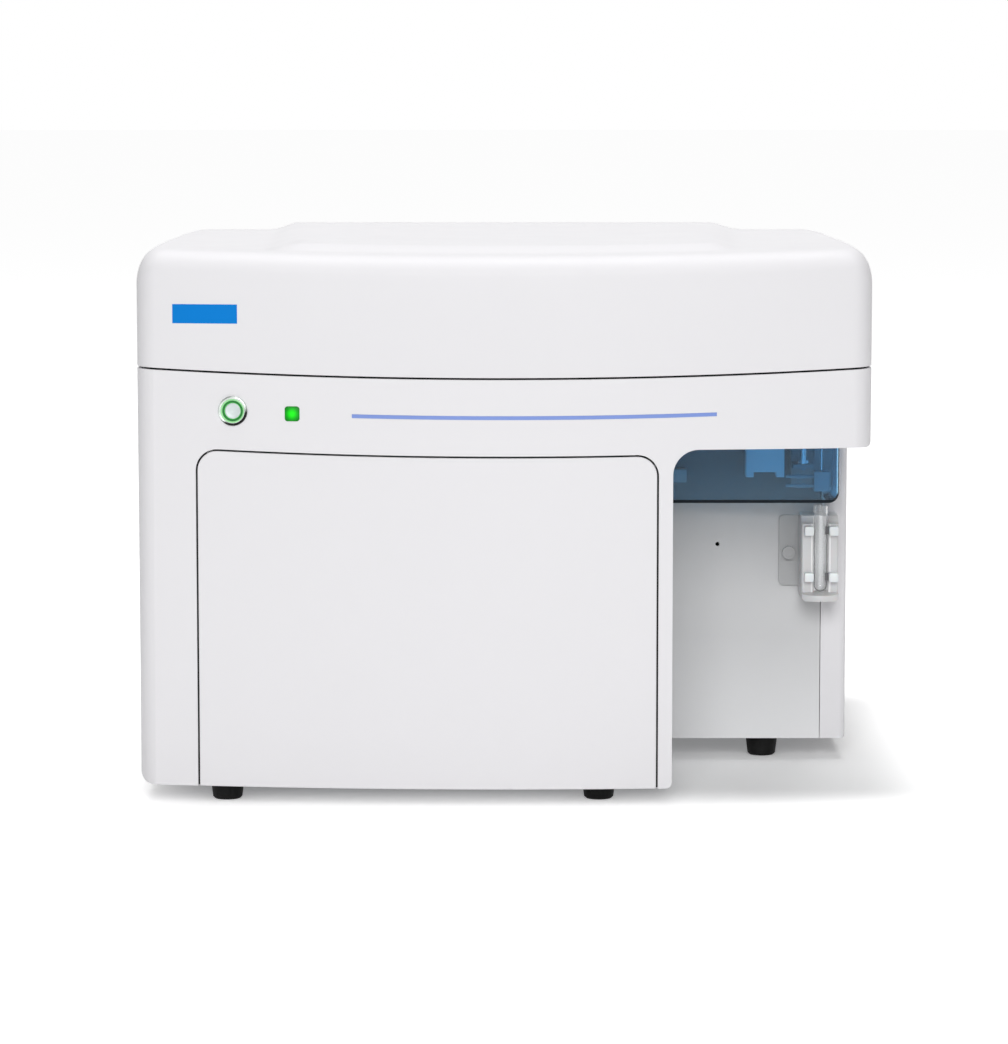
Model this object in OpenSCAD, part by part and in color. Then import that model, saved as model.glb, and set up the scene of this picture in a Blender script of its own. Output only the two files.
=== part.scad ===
// Bench flow cytometer with a rear-hinged top cover, a side-hinged fluidics door and a sampling recess.
// Millimetres. X points right, Y points back, Z points up. The origin is on the bench, under the centre.

/* [Body] */
// Width over the side panels
body_w = 598.4; // [595:0.2:602]
// Depth from the front of the bulge to the back of the hinges and fittings
total_d = 650; // [646:1:654]
// How far the front bulges forward over its width
bulge = 27.5; // [25:0.5:30]
// Plan radius of the two front corners
corner_r = 20; // [17:1:21]
// Plan radius of the two rear corners
rear_corner_r = 12; // [10:1:14]
// Thickness of the moulded skins
skin = 4; // [3.6:0.1:4.2]
// Height of the feet
foot_h = 18; // [16:1:20]

/* [Top cover] */
// Height of the parting line at the centre
seam_h = 352.6; // [351:0.2:354]
// Radius of the arc that the parting line, the light strip and the door top follow
smile_r = 6000; // [5800:100:6400]
// Width of the parting gap
seam_gap = 1.6; // [1.2:0.1:1.8]
// Height of the cover's shoulders along their front edge
shoulder_h = 451.3; // [448:0.1:453]
// How far the top crowns between front and back
crown_h = 6; // [4:0.5:7]
// Rise of the centre panel above the shoulders
hump_h = 6.5; // [5:0.5:8]
// Drop of the rounded front edge
front_drop = 17; // [14:1:20]
// Drop of the rounded side edges
side_drop = 30; // [26:1:32]

/* [Door] */
// Left edge of the door
door_l = -249; // [-250:0.5:-247]
// Right edge of the door
door_r = 123.5; // [122:0.5:124]
// Height of the door's top edge at the centre line
door_top_h = 288.6; // [285:0.2:290]
// Gap round the door
door_gap = 1.5; // [1.3:0.1:1.7]
// Thickness of the door's skin
door_skin = 3; // [2.6:0.1:3]
// Radius of the door's upper corners
door_corner_r = 16; // [12:1:18]

/* [Sampling recess] */
// Right face of the front leg
leg_x = 136.4; // [136:0.2:137]
// Face of the wall at the back of the recess
recess_y = -66; // [-66.4:0.2:-65.6]
// Underside of the overhang
overhang_h = 295; // [294.8:0.1:296]
// Radius of the arch between the leg and the overhang
arch_r = 21; // [20:1:28]
// Centre of the sample tube, across
tube_x = 273.7; // [273.5:0.1:273.9]
// Centre of the sample tube, front to back
tube_y = -100; // [-100.2:0.1:-99.8]
// Length of the sample tube
tube_h = 75; // [74:0.5:75]
// Outer radius of the sample tube
tube_r = 6; // [5.9:0.05:6]

/* [Controls] */
// Centre of the power button, across
button_x = -219.6; // [-222:0.2:-218]
// Centre of the power button, above the bench
button_z = 326; // [324:0.5:328]
// Outer radius of the button's bezel
bezel_r = 12; // [11.5:0.1:12.5]
// Centre of the square status light, across
status_x = -171.4; // [-173:0.2:-168]
// Side of the square status light
status_w = 12; // [11:0.2:12.6]
// Height of the light strip at the centre line
strip_h = 321.2; // [320:0.2:323]
// Width of the light strip
strip_w = 3; // [2.6:0.1:3.2]

/* [Hidden] */
$fn = 48;

white = [0.91, 0.91, 0.92];
pale = [0.83, 0.84, 0.85];
grey = [0.55, 0.56, 0.58];
dark = [0.14, 0.14, 0.15];
black = [0.05, 0.05, 0.05];
steel = [0.70, 0.71, 0.73];
alu = [0.80, 0.81, 0.83];
blue = [0.16, 0.40, 0.62];
green = [0.20, 0.85, 0.35];
clear = [0.80, 0.86, 0.90];

eps = 0.05;
half_w = body_w/2;
front_apex = -total_d/2;
rear_proud = 10;
rear_y = total_d/2 - rear_proud;
front_r = (half_w*half_w + bulge*bulge)/(2*bulge);
front_cy = front_apex + front_r;
arc_fn = 1440;
smile_fn = 2880;
split_y = -268;
joint_gap = 0.6;
body_bottom = foot_h;
bottom_edge_r = 11;
panel_edge_r = 3;
small_edge_r = 5;
side_seam = seam_h + smile(half_w);
side_top = side_seam - seam_gap/2;
floor_top = body_bottom + 2;
deck_z = 300;
deck_t = 3;
bench_z = 318;
bench_t = 20;
bench_top = bench_z + bench_t;

function smile(x) = smile_r - sqrt(smile_r*smile_r - x*x);
function ease(t) = t <= 0 ? 0 : t >= 1 ? 1 : t*t*(3 - 2*t);
function front_y(x) = front_cy - sqrt(front_r*front_r - x*x);

// ---------- shared outlines ----------

// Plan outline of the body, drawn in by d on every side.
module plan_body(d = 0) {
  rc = max(corner_r - d, 1);
  rr = max(rear_corner_r - d, 1);
  w = half_w - d;
  fr = front_r - d;
  cx = w - rc;
  cy = front_cy - sqrt((fr - rc)*(fr - rc) - cx*cx);
  tangent_x = cx*fr/(fr - rc);
  back = rear_y - d;
  intersection() {
    translate([0, front_cy]) circle(r = fr, $fn = arc_fn);
    translate([-tangent_x, front_apex - 10]) square([2*tangent_x, back - rr - front_apex + 10]);
  }
  translate([-w, cy]) square([2*w, back - rr - cy]);
  translate([rr - w, cy]) square([2*(w - rr), back - cy]);
  for (s = [-1, 1]) {
    translate([s*cx, cy]) circle(r = rc);
    translate([s*(w - rr), back - rr]) circle(r = rr);
  }
}

// Region of the front elevation under the arc that starts at height h.
module under_arc(h, left, right, bottom) {
  difference() {
    translate([left, bottom]) square([right - left, h + 2*smile(half_w) - bottom]);
    translate([0, h + smile_r]) circle(r = smile_r, $fn = smile_fn);
  }
}

// Door-shaped region: straight sides, square bottom, arched top with rounded corners, drawn in by d.
module door_outline(d = 0, bottom = body_bottom) {
  r = door_corner_r - d;
  big = smile_r + d;
  z0 = door_top_h - d;
  l = door_l + d;
  t = door_r - d;
  xl = l + r;
  xr = t - r;
  zl = z0 + big - sqrt((big + r)*(big + r) - xl*xl);
  zr = z0 + big - sqrt((big + r)*(big + r) - xr*xr);
  mid = (l + t)/2;
  difference() {
    translate([xl*big/(big + r), bottom])
      square([(xr - xl)*big/(big + r), z0 + smile(half_w) - bottom]);
    translate([0, z0 + big]) circle(r = big, $fn = smile_fn);
  }
  translate([l, bottom]) square([mid - l, zl - bottom]);
  translate([mid, bottom]) square([t - mid, zr - bottom]);
  translate([xl, zl]) circle(r = r);
  translate([xr, zr]) circle(r = r);
}

// Recess notch in the front elevation, grown by d into the body.
module notch_outline(d = 0) {
  r = arch_r + d;
  x0 = leg_x - d;
  z1 = overhang_h + d;
  reach = half_w + 40 - x0;
  translate([x0, -20]) square([reach, z1 - r + 20]);
  translate([x0 + r, -20]) square([reach - r, z1 + 20]);
  translate([x0 + r, z1 - r]) circle(r = r);
}

// Front elevation of the body below the parting line, drawn in by d except along the top.
module body_elevation(d = 0, top = seam_h - seam_gap/2) {
  r = bottom_edge_r - d;
  e = small_edge_r - d;
  z = body_bottom + d;
  leg = leg_x - d;
  right = half_w - d;
  over = overhang_h + d;
  difference() {
    union() {
      under_arc(top, -half_w + d, right, z + r);
      // The arc runs on past both sides, and the plan outline trims it there.
      under_arc(top, -half_w + d - 1, right + 1, top - 20);
      translate([-half_w + d + r, z]) square([leg - e + half_w - d - r, r + 1]);
      translate([-half_w + d + r, z + r]) circle(r = r);
      translate([leg - e, z + e]) circle(r = e);
      translate([leg - 2*e, z + e]) square([2*e, r]);
    }
    notch_outline(d);
    translate([right - e, over - 1]) square([e + 1, e + 1]);
  }
  translate([right - e, over + e]) circle(r = e);
}

module along_y(y0, y1) {
  translate([0, y1, 0]) rotate([90, 0, 0]) linear_extrude(height = y1 - y0) children();
}

// Places children on the bulged front: local -Y points out of the surface.
module on_front(x, z) {
  translate([0, front_cy, 0]) rotate([0, 0, asin(x/front_r)]) translate([0, -front_r, z]) children();
}

module rounded_rect(w, h, r) {
  translate([-w/2 + r, -h/2]) square([w - 2*r, h]);
  translate([-w/2, -h/2 + r]) square([w, h - 2*r]);
  for (sx = [-1, 1], sy = [-1, 1]) translate([sx*(w/2 - r), sy*(h/2 - r)]) circle(r = r);
}

module slot2d(length, width) {
  square([length - width, width], center = true);
  for (s = [-1, 1]) translate([s*(length - width)/2, 0]) circle(r = width/2);
}

// Box given by its two corners.
module box(a, b) {
  translate(a) cube(b - a);
}

module tube(r_out, r_in, h) {
  difference() {
    cylinder(r = r_out, h = h);
    translate([0, 0, -1]) cylinder(r = r_in, h = h + 2);
  }
}

// Cylinder along Y from y0 to y1.
module rod_y(x, z, y0, y1, r) {
  translate([x, y1, z]) rotate([90, 0, 0]) cylinder(r = r, h = y1 - y0);
}

// ---------- top cover: a lofted shell ----------

cover_side_reach = 18;
cover_front_reach = 19;
cover_rear_reach = 24;
hump_half_front = 165;
hump_half_rear = 196;
hump_slope = 28;
hump_end = 26;
// Steps of the rounded edge, in degrees from the wall to the top.
edge_steps = [0, 15, 33, 52, 72, 90];
inner_edge_steps = [0, 40, 90];
// Share of the way from the rounded edge to the middle line, across and front to back.
top_steps = [[0.05, 0.012], [0.09, 0.03], [0.13, 0.048], [0.17, 0.066], [0.21, 0.085], [0.25, 0.11],
  [0.29, 0.15], [0.35, 0.22], [0.55, 0.42], [0.76, 0.66], [0.94, 0.9]];
inner_top_steps = [[0.09, 0.04], [0.17, 0.09], [0.26, 0.15], [0.36, 0.24], [0.65, 0.55], [0.94, 0.9]];
mid_depth = 300;
front_parts = 12;
corner_parts = 4;
side_parts = 7;
rear_parts = 4;
ring_half = front_parts + 2*corner_parts + side_parts + rear_parts;
ring_n = 2*ring_half;

// Height of the cover's outer surface above a point that lies clear of the rounded edges.
function hump_half(y) = hump_half_front + (hump_half_rear - hump_half_front)*(y + half_w)/body_w;
function crown(y) = crown_h*(1 - pow(y/rear_y, 2));
function front_fade(y) = 1 - ease((y + half_w)/half_w);
function hump(x, y) = hump_h*ease((hump_half(y) + hump_slope - abs(x))/hump_slope)
  *ease((y - front_y(x) - cover_front_reach)/hump_end)*ease((rear_y - cover_rear_reach - y)/hump_end);
function top_z(x, y) = shoulder_h + max(crown(y), 0) + smile(x)*front_fade(y)*0.6 + hump(x, y);

// Right half of a ring in plan, as [x, y, share of side rounding]: inset dx at the sides, df and dr
// at the front and the back, with front corners of radius rc and rear corners of radius rr.
function half_ring(dx, df, dr, rc, rr) =
  let (w = half_w - dx, fr = front_r - df, back = rear_y - dr, cx = w - rc,
       cy = front_cy - sqrt((fr - rc)*(fr - rc) - cx*cx),
       start = asin(cx/(fr - rc)), xt = fr*sin(start))
  concat(
    [for (i = [0:front_parts]) let (x = xt*i/front_parts)
      [x, front_cy - sqrt(fr*fr - x*x), 0]],
    [for (i = [1:corner_parts]) let (a = start + (90 - start)*i/corner_parts)
      [cx + rc*sin(a), cy - rc*cos(a), pow(sin(a), 2)]],
    [for (i = [1:side_parts]) [w, cy + (back - rr - cy)*i/side_parts, 1]],
    [for (i = [1:corner_parts]) let (a = 90*i/corner_parts)
      [w - rr + rr*cos(a), back - rr + rr*sin(a), pow(cos(a), 2)]],
    [for (i = [1:rear_parts]) [(w - rr)*(1 - i/rear_parts), back, 0]]);

function drop_of(share, thick) = front_drop + (side_drop - front_drop)*share - thick;
function base_z(x, y) = (y < 0 ? seam_h + smile(x) : side_seam) + seam_gap/2;
function whole(half) = concat(half, [for (i = [ring_half - 1:-1:1]) [-half[i].x, half[i].y, half[i].z]]);

// Bottom edge, rounded edge and top of one skin; thick is how far it lies inside the outer one.
function base_ring(thick) = whole([
  for (p = half_ring(thick, thick, thick, corner_r - thick, rear_corner_r - thick))
    [p.x, p.y, base_z(p.x, p.y)]]);
function edge_ring(a, thick) = let (s = 1 - cos(a), keep = 1 - 0.55*s)
  whole([for (p = half_ring(thick + (cover_side_reach - thick)*s, thick + (cover_front_reach - thick)*s,
      thick + (cover_rear_reach - thick)*s, (corner_r - thick)*keep, (rear_corner_r - thick)*keep))
    [p.x, p.y, top_z(p.x, p.y) - thick - drop_of(p.z, thick)*(1 - sin(a))]]);
function top_ring(t, thick) = let (keep = 0.45*(1 - 0.6*t[0]))
  whole([for (p = half_ring(cover_side_reach + (half_w - cover_side_reach)*t[0],
      cover_front_reach + mid_depth*t[1], cover_rear_reach + (mid_depth - 20)*t[1],
      (corner_r - thick)*keep, (rear_corner_r - thick)*keep))
    [p.x, p.y, top_z(p.x, p.y) - thick]]);

function skin_rings(thick, edges, tops) = concat([base_ring(thick)],
  [for (a = edges) edge_ring(a, thick)], [for (t = tops) top_ring(t, thick)]);

// Faces between two rings that start at points a and b, and the fan that closes the last ring.
function band(a, b) = [for (i = [0:ring_n - 1]) let (j = (i + 1) % ring_n)
  each [[a + i, b + i, a + j], [a + j, b + i, b + j]]];
function fan(a, middle) = [for (i = [0:ring_n - 1]) [a + i, middle, a + (i + 1) % ring_n]];
function flip(faces) = [for (f = faces) [for (i = [len(f) - 1:-1:0]) f[i]]];

module top_cover() {
  outer = skin_rings(0, edge_steps, top_steps);
  inner = skin_rings(skin, inner_edge_steps, inner_top_steps);
  peak = top_z(0, 0);
  points = concat([for (ring = concat(outer, inner)) each ring], [[0, 0, peak], [0, 0, peak - skin]]);
  n_out = len(outer);
  n_in = len(inner);
  inner_start = n_out*ring_n;
  middle = (n_out + n_in)*ring_n;
  faces = concat(
    [for (k = [0:n_out - 2]) each band(k*ring_n, (k + 1)*ring_n)],
    fan((n_out - 1)*ring_n, middle),
    [for (k = [0:n_in - 2]) each flip(band(inner_start + k*ring_n, inner_start + (k + 1)*ring_n))],
    flip(fan(inner_start + (n_in - 1)*ring_n, middle + 1)),
    flip(band(0, inner_start)));
  color(white) polyhedron(points = points, faces = faces, convexity = 6);
}

// Folded frame that stiffens the cover's sides and back and carries its hinges.
lid_frame_z = 368;
lid_frame_h = 26;
module lid_frame() {
  inner_x = half_w - skin;
  back = rear_y - skin;
  front = -250;
  color(grey) {
    for (s = [-1, 1]) {
      box([s > 0 ? inner_x - 2 : -inner_x, front, lid_frame_z],
          [s > 0 ? inner_x : 2 - inner_x, back - 20, lid_frame_z + lid_frame_h]);
      box([s > 0 ? inner_x - 7 : 2 - inner_x, front, lid_frame_z],
          [s > 0 ? inner_x - 2 : 7 - inner_x, back - 20, lid_frame_z + 2]);
    }
    difference() {
      box([20 - inner_x, back - 2, lid_frame_z], [inner_x - 20, back, lid_frame_z + 36]);
      for (x = [-180, 180], dx = [-12, 12]) rod_y(x + dx, lid_frame_z + 18, back - 3, back + 1, 2);
    }
    box([20 - inner_x, back - 12, lid_frame_z], [inner_x - 20, back - 2, lid_frame_z + 2]);
  }
}

// ---------- cover hinges ----------

hinge_axis_y = rear_y + 6;
hinge_axis_z = side_seam;
hinge_xs = [-180, 180];
barrel_r = 4;
hinge_pin_r = 2;
leaf_w = 60;
knuckle_w = 8.4;
knuckle_pitch = 9;

// The cover has the three inner knuckles of seven; each knuckle joins its leaf by a web.
module hinge_half(upper) {
  spots = upper ? [-2, 0, 2] : [-3, -1, 1, 3];
  rise = upper ? 1 : -1;
  for (x = hinge_xs) {
    difference() {
      union() {
        for (k = spots) translate([x + k*knuckle_pitch - knuckle_w/2, 0, hinge_axis_z]) {
          translate([0, hinge_axis_y, 0]) rotate([0, 90, 0]) cylinder(r = barrel_r, h = knuckle_w);
          translate([0, rear_y, upper ? 0 : -6]) cube([knuckle_w, 4, 6]);
        }
        translate([x - leaf_w/2, rear_y, hinge_axis_z + (upper ? 5 : -30)]) cube([leaf_w, 2, 25]);
        for (sx = [-1, 1], dz = [12, 24]) translate([x + sx*20, rear_y + 2, hinge_axis_z + rise*dz])
          rotate([-90, 0, 0]) cylinder(r = 3, h = 1.4);
      }
      translate([x - leaf_w, hinge_axis_y, hinge_axis_z]) rotate([0, 90, 0])
        cylinder(r = hinge_pin_r + 0.05, h = 2*leaf_w);
    }
  }
}

module lid_hinge_leaves() {
  color(steel) hinge_half(true);
}

module body_hinge_leaves() {
  color(steel) hinge_half(false);
}

module lid_hinge_pins() {
  color(steel) for (x = hinge_xs)
    translate([x - 3.5*knuckle_pitch, hinge_axis_y, hinge_axis_z]) rotate([0, 90, 0]) {
      cylinder(r = hinge_pin_r, h = 7*knuckle_pitch);
      translate([0, 0, -0.8]) cylinder(r = 3, h = 1);
    }
}

// Soft seal in the parting gap: its foot is held by the body, its lip stands just inside the cover.
gasket_foot = 8;
gasket_lip = 5;
module gasket_ring(d) {
  difference() {
    plan_body(d);
    plan_body(skin + 4);
  }
}

module arc_band(low, high, left, right) {
  difference() {
    under_arc(high, left, right, low - 40);
    under_arc(low, left - 1, right + 1, low - 50);
  }
}

module seam_gasket() {
  meet = seam_gap/2 + 0.2;
  front_end = -200;
  color(dark) {
    intersection() {
      linear_extrude(height = 400) gasket_ring(skin);
      along_y(front_apex - 1, front_end) arc_band(seam_h - gasket_foot, seam_h - meet, -half_w, half_w);
    }
    intersection() {
      linear_extrude(height = 400) gasket_ring(skin + 0.6);
      along_y(front_apex - 1, front_end) arc_band(seam_h - meet, seam_h + gasket_lip, -half_w, half_w);
    }
    difference() {
      union() {
        translate([0, 0, side_seam - gasket_foot]) linear_extrude(height = gasket_foot - meet)
          gasket_ring(skin);
        translate([0, 0, side_seam - meet]) linear_extrude(height = gasket_lip + meet)
          gasket_ring(skin + 0.6);
      }
      box([-half_w, front_apex - 1, 0], [half_w, front_end, 400]);
    }
  }
}

// ---------- lower case ----------

status_z = 324;
strip_l = -123;
strip_r = 171.6;
bezel_hole_r = 9.5;

module strip_band(grow = 0) {
  arc_band(strip_h - strip_w/2 - grow, strip_h + strip_w/2 + grow, strip_l - grow, strip_r + grow);
}

// Moulded front with returns that run back to the side panels, the base and the overhang.
module front_frame() {
  color(white) difference() {
    intersection() {
      linear_extrude(height = 400) plan_body();
      along_y(front_apex - 1, split_y) body_elevation();
    }
    intersection() {
      linear_extrude(height = 400) plan_body(skin);
      along_y(front_apex - 1, split_y + 1) body_elevation(skin, seam_h + 20);
    }
    difference() {
      along_y(front_apex - 1, split_y) door_outline(-door_gap, 0);
      linear_extrude(height = 400) plan_body(skin);
    }
    along_y(front_apex - 1, split_y) strip_band(0.1);
    on_front(button_x, button_z) rod_y(0, 0, -5, 10, bezel_hole_r);
    on_front(status_x, status_z) translate([0, 10, 0]) rotate([90, 0, 0])
      linear_extrude(height = 15) rounded_rect(status_w + 0.2, status_w + 0.2, 2.6);
  }
}

module light_strip() {
  color([0.60, 0.66, 0.95]) intersection() {
    linear_extrude(height = 400) difference() {
      plan_body();
      plan_body(skin - 0.6);
    }
    along_y(front_apex - 1, split_y) strip_band();
  }
}

// One slice of the door between two depths behind its outer face.
module door_layer(near, far) {
  intersection() {
    linear_extrude(height = 400) difference() {
      plan_body(near);
      plan_body(far);
    }
    along_y(front_apex - 1, split_y) children();
  }
}

door_rim = 6;
door_rim_t = 3;
door_rim_depth = 14;
door_rib_depth = 9;
module front_door() {
  rib_low = body_bottom + 8;
  color(white) {
    door_layer(0, door_skin) door_outline();
    door_layer(door_skin - eps, door_rim_depth) difference() {
      door_outline(door_rim, rib_low);
      door_outline(door_rim + door_rim_t, rib_low + door_rim_t);
    }
    door_layer(door_skin - eps, door_rib_depth) intersection() {
      door_outline(door_rim + 1, rib_low + 1);
      union() {
        for (x = [-150, -62, 26]) translate([x - 1.25, 0]) square([2.5, 320]);
        for (z = [110, 200]) translate([-300, z - 1.25]) square([460, 2.5]);
      }
    }
  }
}

// ---------- door hinges: C-shaped arms that wrap the frame's edge ----------

door_axis_x = -282;
door_axis_y = -290;
door_pin_r = 2.5;
arm_reach = 40;
arm_span = 47;
arm_w = 5;
arm_h = 16;
arm_zs = [70, 226];
eye_r = 6;

module door_hinge_arms() {
  far_x = door_axis_x + arm_span;
  far_y = door_axis_y + arm_reach;
  color(steel) for (z = arm_zs) difference() {
    intersection() {
      translate([0, 0, z]) linear_extrude(height = arm_h) {
        translate([door_axis_x, door_axis_y]) circle(r = eye_r);
        translate([door_axis_x - arm_w/2, door_axis_y]) square([arm_w, arm_reach]);
        translate([door_axis_x, far_y]) circle(r = arm_w/2);
        translate([door_axis_x, far_y - arm_w/2]) square([arm_span, arm_w]);
        translate([far_x, far_y]) circle(r = arm_w/2);
        translate([far_x - arm_w/2, front_apex]) square([arm_w, far_y - front_apex]);
        intersection() {
          difference() {
            plan_body(door_skin);
            plan_body(door_skin + 3);
          }
          translate([far_x - arm_w/2, front_apex]) square([16, 60]);
        }
      }
      linear_extrude(height = 400) plan_body(door_skin);
    }
    translate([door_axis_x, door_axis_y, z - 1]) cylinder(r = door_pin_r + 0.05, h = arm_h + 2);
  }
}

module door_hinge_brackets() {
  wall_x = -half_w + skin;
  lug_t = 3;
  lug_gap = 0.4;
  color(steel) for (z = arm_zs) {
    low = z - lug_gap - lug_t;
    high = z + arm_h + lug_gap;
    difference() {
      union() {
        box([wall_x, -279, low], [wall_x + 3, -254, high + lug_t]);
        for (lz = [low, high]) translate([0, 0, lz]) linear_extrude(height = lug_t) {
          translate([door_axis_x, door_axis_y]) circle(r = eye_r);
          polygon([[wall_x, -279], [wall_x, -262], [door_axis_x + eye_r, door_axis_y],
            [door_axis_x - eye_r, door_axis_y]]);
        }
      }
      for (lz = [low, high]) translate([door_axis_x, door_axis_y, lz - 1])
        cylinder(r = door_pin_r, h = lug_t + 2);
    }
  }
}

module door_hinge_pins() {
  color(steel) for (z = arm_zs) translate([door_axis_x, door_axis_y, z - 3.4])
    cylinder(r = door_pin_r, h = arm_h + 6.8);
}

// Magnetic catches inside the leg, facing the free edge of the door.
module door_catches() {
  color(dark) for (z = [60, 236]) {
    box([119.5, -313.5, z], [leg_x - skin, -301, z + 30]);
  }
}

// ---------- side, rear and inner walls ----------

flange_x = 272;
vent_n = 12;
vent_pitch = 9;

module side_profile(d, edge_r) {
  r = max(edge_r - d, 0.5);
  w = half_w - d;
  z = body_bottom + d;
  translate([flange_x - d, z + r]) square([w - flange_x + d, side_top + 2*d - z - r]);
  translate([flange_x - d, z]) square([w - r - flange_x + d, r + 1]);
  corner_disc(w - r, z + r, r);
}

// Lower right quarter of a disc.
module corner_disc(x, z, r) {
  intersection() {
    translate([x, z]) circle(r = r);
    translate([x - 1, z - r]) square([r + 1, r + 1]);
  }
}

module overhang_profile(d) {
  r = small_edge_r - d;
  w = half_w - d;
  z = overhang_h + d;
  left = 288 - d;
  translate([left, z + r]) square([w - left, side_top + 2*d - z - r]);
  translate([left, z]) square([w - r - left, r + 1]);
  corner_disc(w - r, z + r, r);
}

// Plan of the right side behind the recess, with a small radius on its front corner.
module right_plan(d) {
  r = 5 - d;
  y = recess_y + d;
  intersection() {
    plan_body(d);
    union() {
      translate([200, y + r]) square([110, total_d]);
      translate([200, y]) square([half_w - 5 - 200, total_d]);
      translate([half_w - 5, y + r]) circle(r = r);
    }
  }
}

module vent_slots(x0, z0, n, length) {
  for (k = [0:n - 1]) translate([x0 + k*vent_pitch, z0]) rotate(90) slot2d(length, 4);
}

module left_side_panel() {
  color(white) mirror([1, 0, 0]) difference() {
    intersection() {
      linear_extrude(height = 400) plan_body();
      along_y(split_y + joint_gap, rear_y + 1) side_profile(0, bottom_edge_r);
    }
    intersection() {
      linear_extrude(height = 400) plan_body(skin);
      along_y(split_y, rear_y + 1) side_profile(skin, bottom_edge_r);
    }
    translate([half_w - skin - 1, 0, 0]) rotate([90, 0, 90]) linear_extrude(height = skin + 2)
      vent_slots(150, 90, vent_n, 60);
  }
}

leg_gap_x = 277;
module right_side_panel() {
  color(white) difference() {
    union() {
      intersection() {
        linear_extrude(height = 400) right_plan(0);
        along_y(recess_y - 1, rear_y + 1) side_profile(0, panel_edge_r);
      }
      intersection() {
        linear_extrude(height = 400) plan_body();
        along_y(split_y + joint_gap, recess_y + 8) overhang_profile(0);
      }
    }
    intersection() {
      linear_extrude(height = 400) right_plan(skin);
      along_y(recess_y, rear_y + 1) side_profile(skin, panel_edge_r);
    }
    intersection() {
      linear_extrude(height = 400) plan_body(skin);
      along_y(split_y, recess_y + 9) overhang_profile(skin);
    }
    box([flange_x - 1, recess_y - 1, 0], [leg_gap_x, recess_y + skin, 400]);
    box([flange_x - 1, recess_y - 1, deck_z - 0.4], [half_w - skin, recess_y + 9, 400]);
  }
}

inner_wall_t = 3;
sight_hole_x = 186.3;
sight_hole_z = 189.7;

holder_screw_x = 248.2;
holder_screw_z = 182.7;
// Wall at the back of the recess, with a small hole and the boss that steadies the splash shield.
module recess_wall() {
  color(pale) {
    difference() {
      box([leg_x - inner_wall_t, recess_y, body_bottom],
          [leg_gap_x - joint_gap, recess_y + inner_wall_t, deck_z - 0.4]);
      rod_y(sight_hole_x, sight_hole_z, recess_y - 1, recess_y + inner_wall_t + 1, 1.8);
      rod_y(holder_screw_x, holder_screw_z, recess_y - 1, recess_y + inner_wall_t + 1, 2.05);
    }
    box([145.5, recess_y - 12, 245], [158.5, recess_y, 256]);
  }
}

// Right wall of the leg, with the gusset that closes the corner behind the front's arch.
ceiling_flange = 12;
module recess_side_wall() {
  gusset_t = 3;
  color(pale) {
    along_y(split_y + joint_gap, recess_y) {
      translate([leg_x - inner_wall_t, body_bottom])
        square([inner_wall_t, overhang_h + inner_wall_t - body_bottom]);
      translate([leg_x - eps, overhang_h]) square([ceiling_flange, inner_wall_t]);
    }
    along_y(split_y + joint_gap, split_y + joint_gap + gusset_t) difference() {
      union() {
        translate([leg_x - eps, overhang_h - arch_r]) square([arch_r - ceiling_flange, arch_r + eps]);
        translate([leg_x, overhang_h - arch_r]) square([arch_r, arch_r]);
      }
      translate([leg_x + arch_r, overhang_h - arch_r]) circle(r = arch_r);
    }
  }
}

probe_slot_l = 244;
probe_slot_front = -118;
module overhang_floor() {
  color(pale) difference() {
    box([leg_x + ceiling_flange + 0.4, split_y + joint_gap, overhang_h],
        [287.6, recess_y, overhang_h + inner_wall_t]);
    box([probe_slot_l, probe_slot_front, 0], [300, 0, 400]);
  }
}

// L-shaped outline of the base, drawn in by d.
pan_x = flange_x - joint_gap;
pan_step_y = recess_y + inner_wall_t + joint_gap;
module pan_outline(d) {
  translate([-pan_x + d, split_y + joint_gap + d])
    square([leg_x - inner_wall_t - 0.4 + pan_x - 2*d, pan_step_y - split_y]);
  translate([-pan_x + d, pan_step_y + d]) square([2*(pan_x - d), rear_y - 4.6 - pan_step_y - 2*d]);
}

module base_pan() {
  color(grey) difference() {
    translate([0, 0, body_bottom]) linear_extrude(height = 22) pan_outline(0);
    translate([0, 0, floor_top]) linear_extrude(height = 22) pan_outline(2);
    for (x = [-120, -40, 40], y = [-40, 60, 160]) translate([x, y, 0]) cylinder(r = 6, h = 60);
  }
}

// Sheet wall with rounded windows, standing along Y at x.
module partition_x(x, y0, y1, windows) {
  h = deck_z - floor_top;
  difference() {
    box([x, y0, floor_top], [x + 2, y1, deck_z]);
    for (k = [0:windows - 1]) translate([x - 1, y0 + (k + 0.5)*(y1 - y0)/windows, floor_top + h/2])
      rotate([90, 0, 90]) linear_extrude(height = 4) rounded_rect((y1 - y0)/windows - 40, h - 90, 12);
  }
}

module chassis_walls() {
  color(grey) {
    partition_x(-266, -236, 300, 4);
    partition_x(128, -262, -64, 2);
    partition_x(262, -54, 300, 3);
    difference() {
      box([132, -58, floor_top], [260, -56, deck_z]);
      translate([196, -55, 160]) rotate([90, 0, 0]) linear_extrude(height = 4) rounded_rect(80, 190, 12);
    }
  }
}

module deck_plate() {
  front = split_y + 6;
  color(alu) difference() {
    intersection() {
      translate([0, 0, deck_z]) linear_extrude(height = deck_t) plan_body(skin + 6);
      box([-half_w, front, 0], [half_w, rear_y - 8, 400]);
    }
    box([probe_slot_l, probe_slot_front, 0], [half_w, recess_y + 4, 400]);
    for (x = [-250, 250], y = [-180, -20, 140, 260]) translate([x, y, 0]) cylinder(r = 9, h = 400);
  }
}

// ---------- rear ----------

fan_x = 120;
fan_z = 226;
fan_size = 120;
inlet_x = -215;
inlet_z = 84;
rocker_x = -215;
rocker_z = 134;
port_x = -120;
fitting_xs = [-20, 20, 60, 100];
fitting_z = 70;

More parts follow.
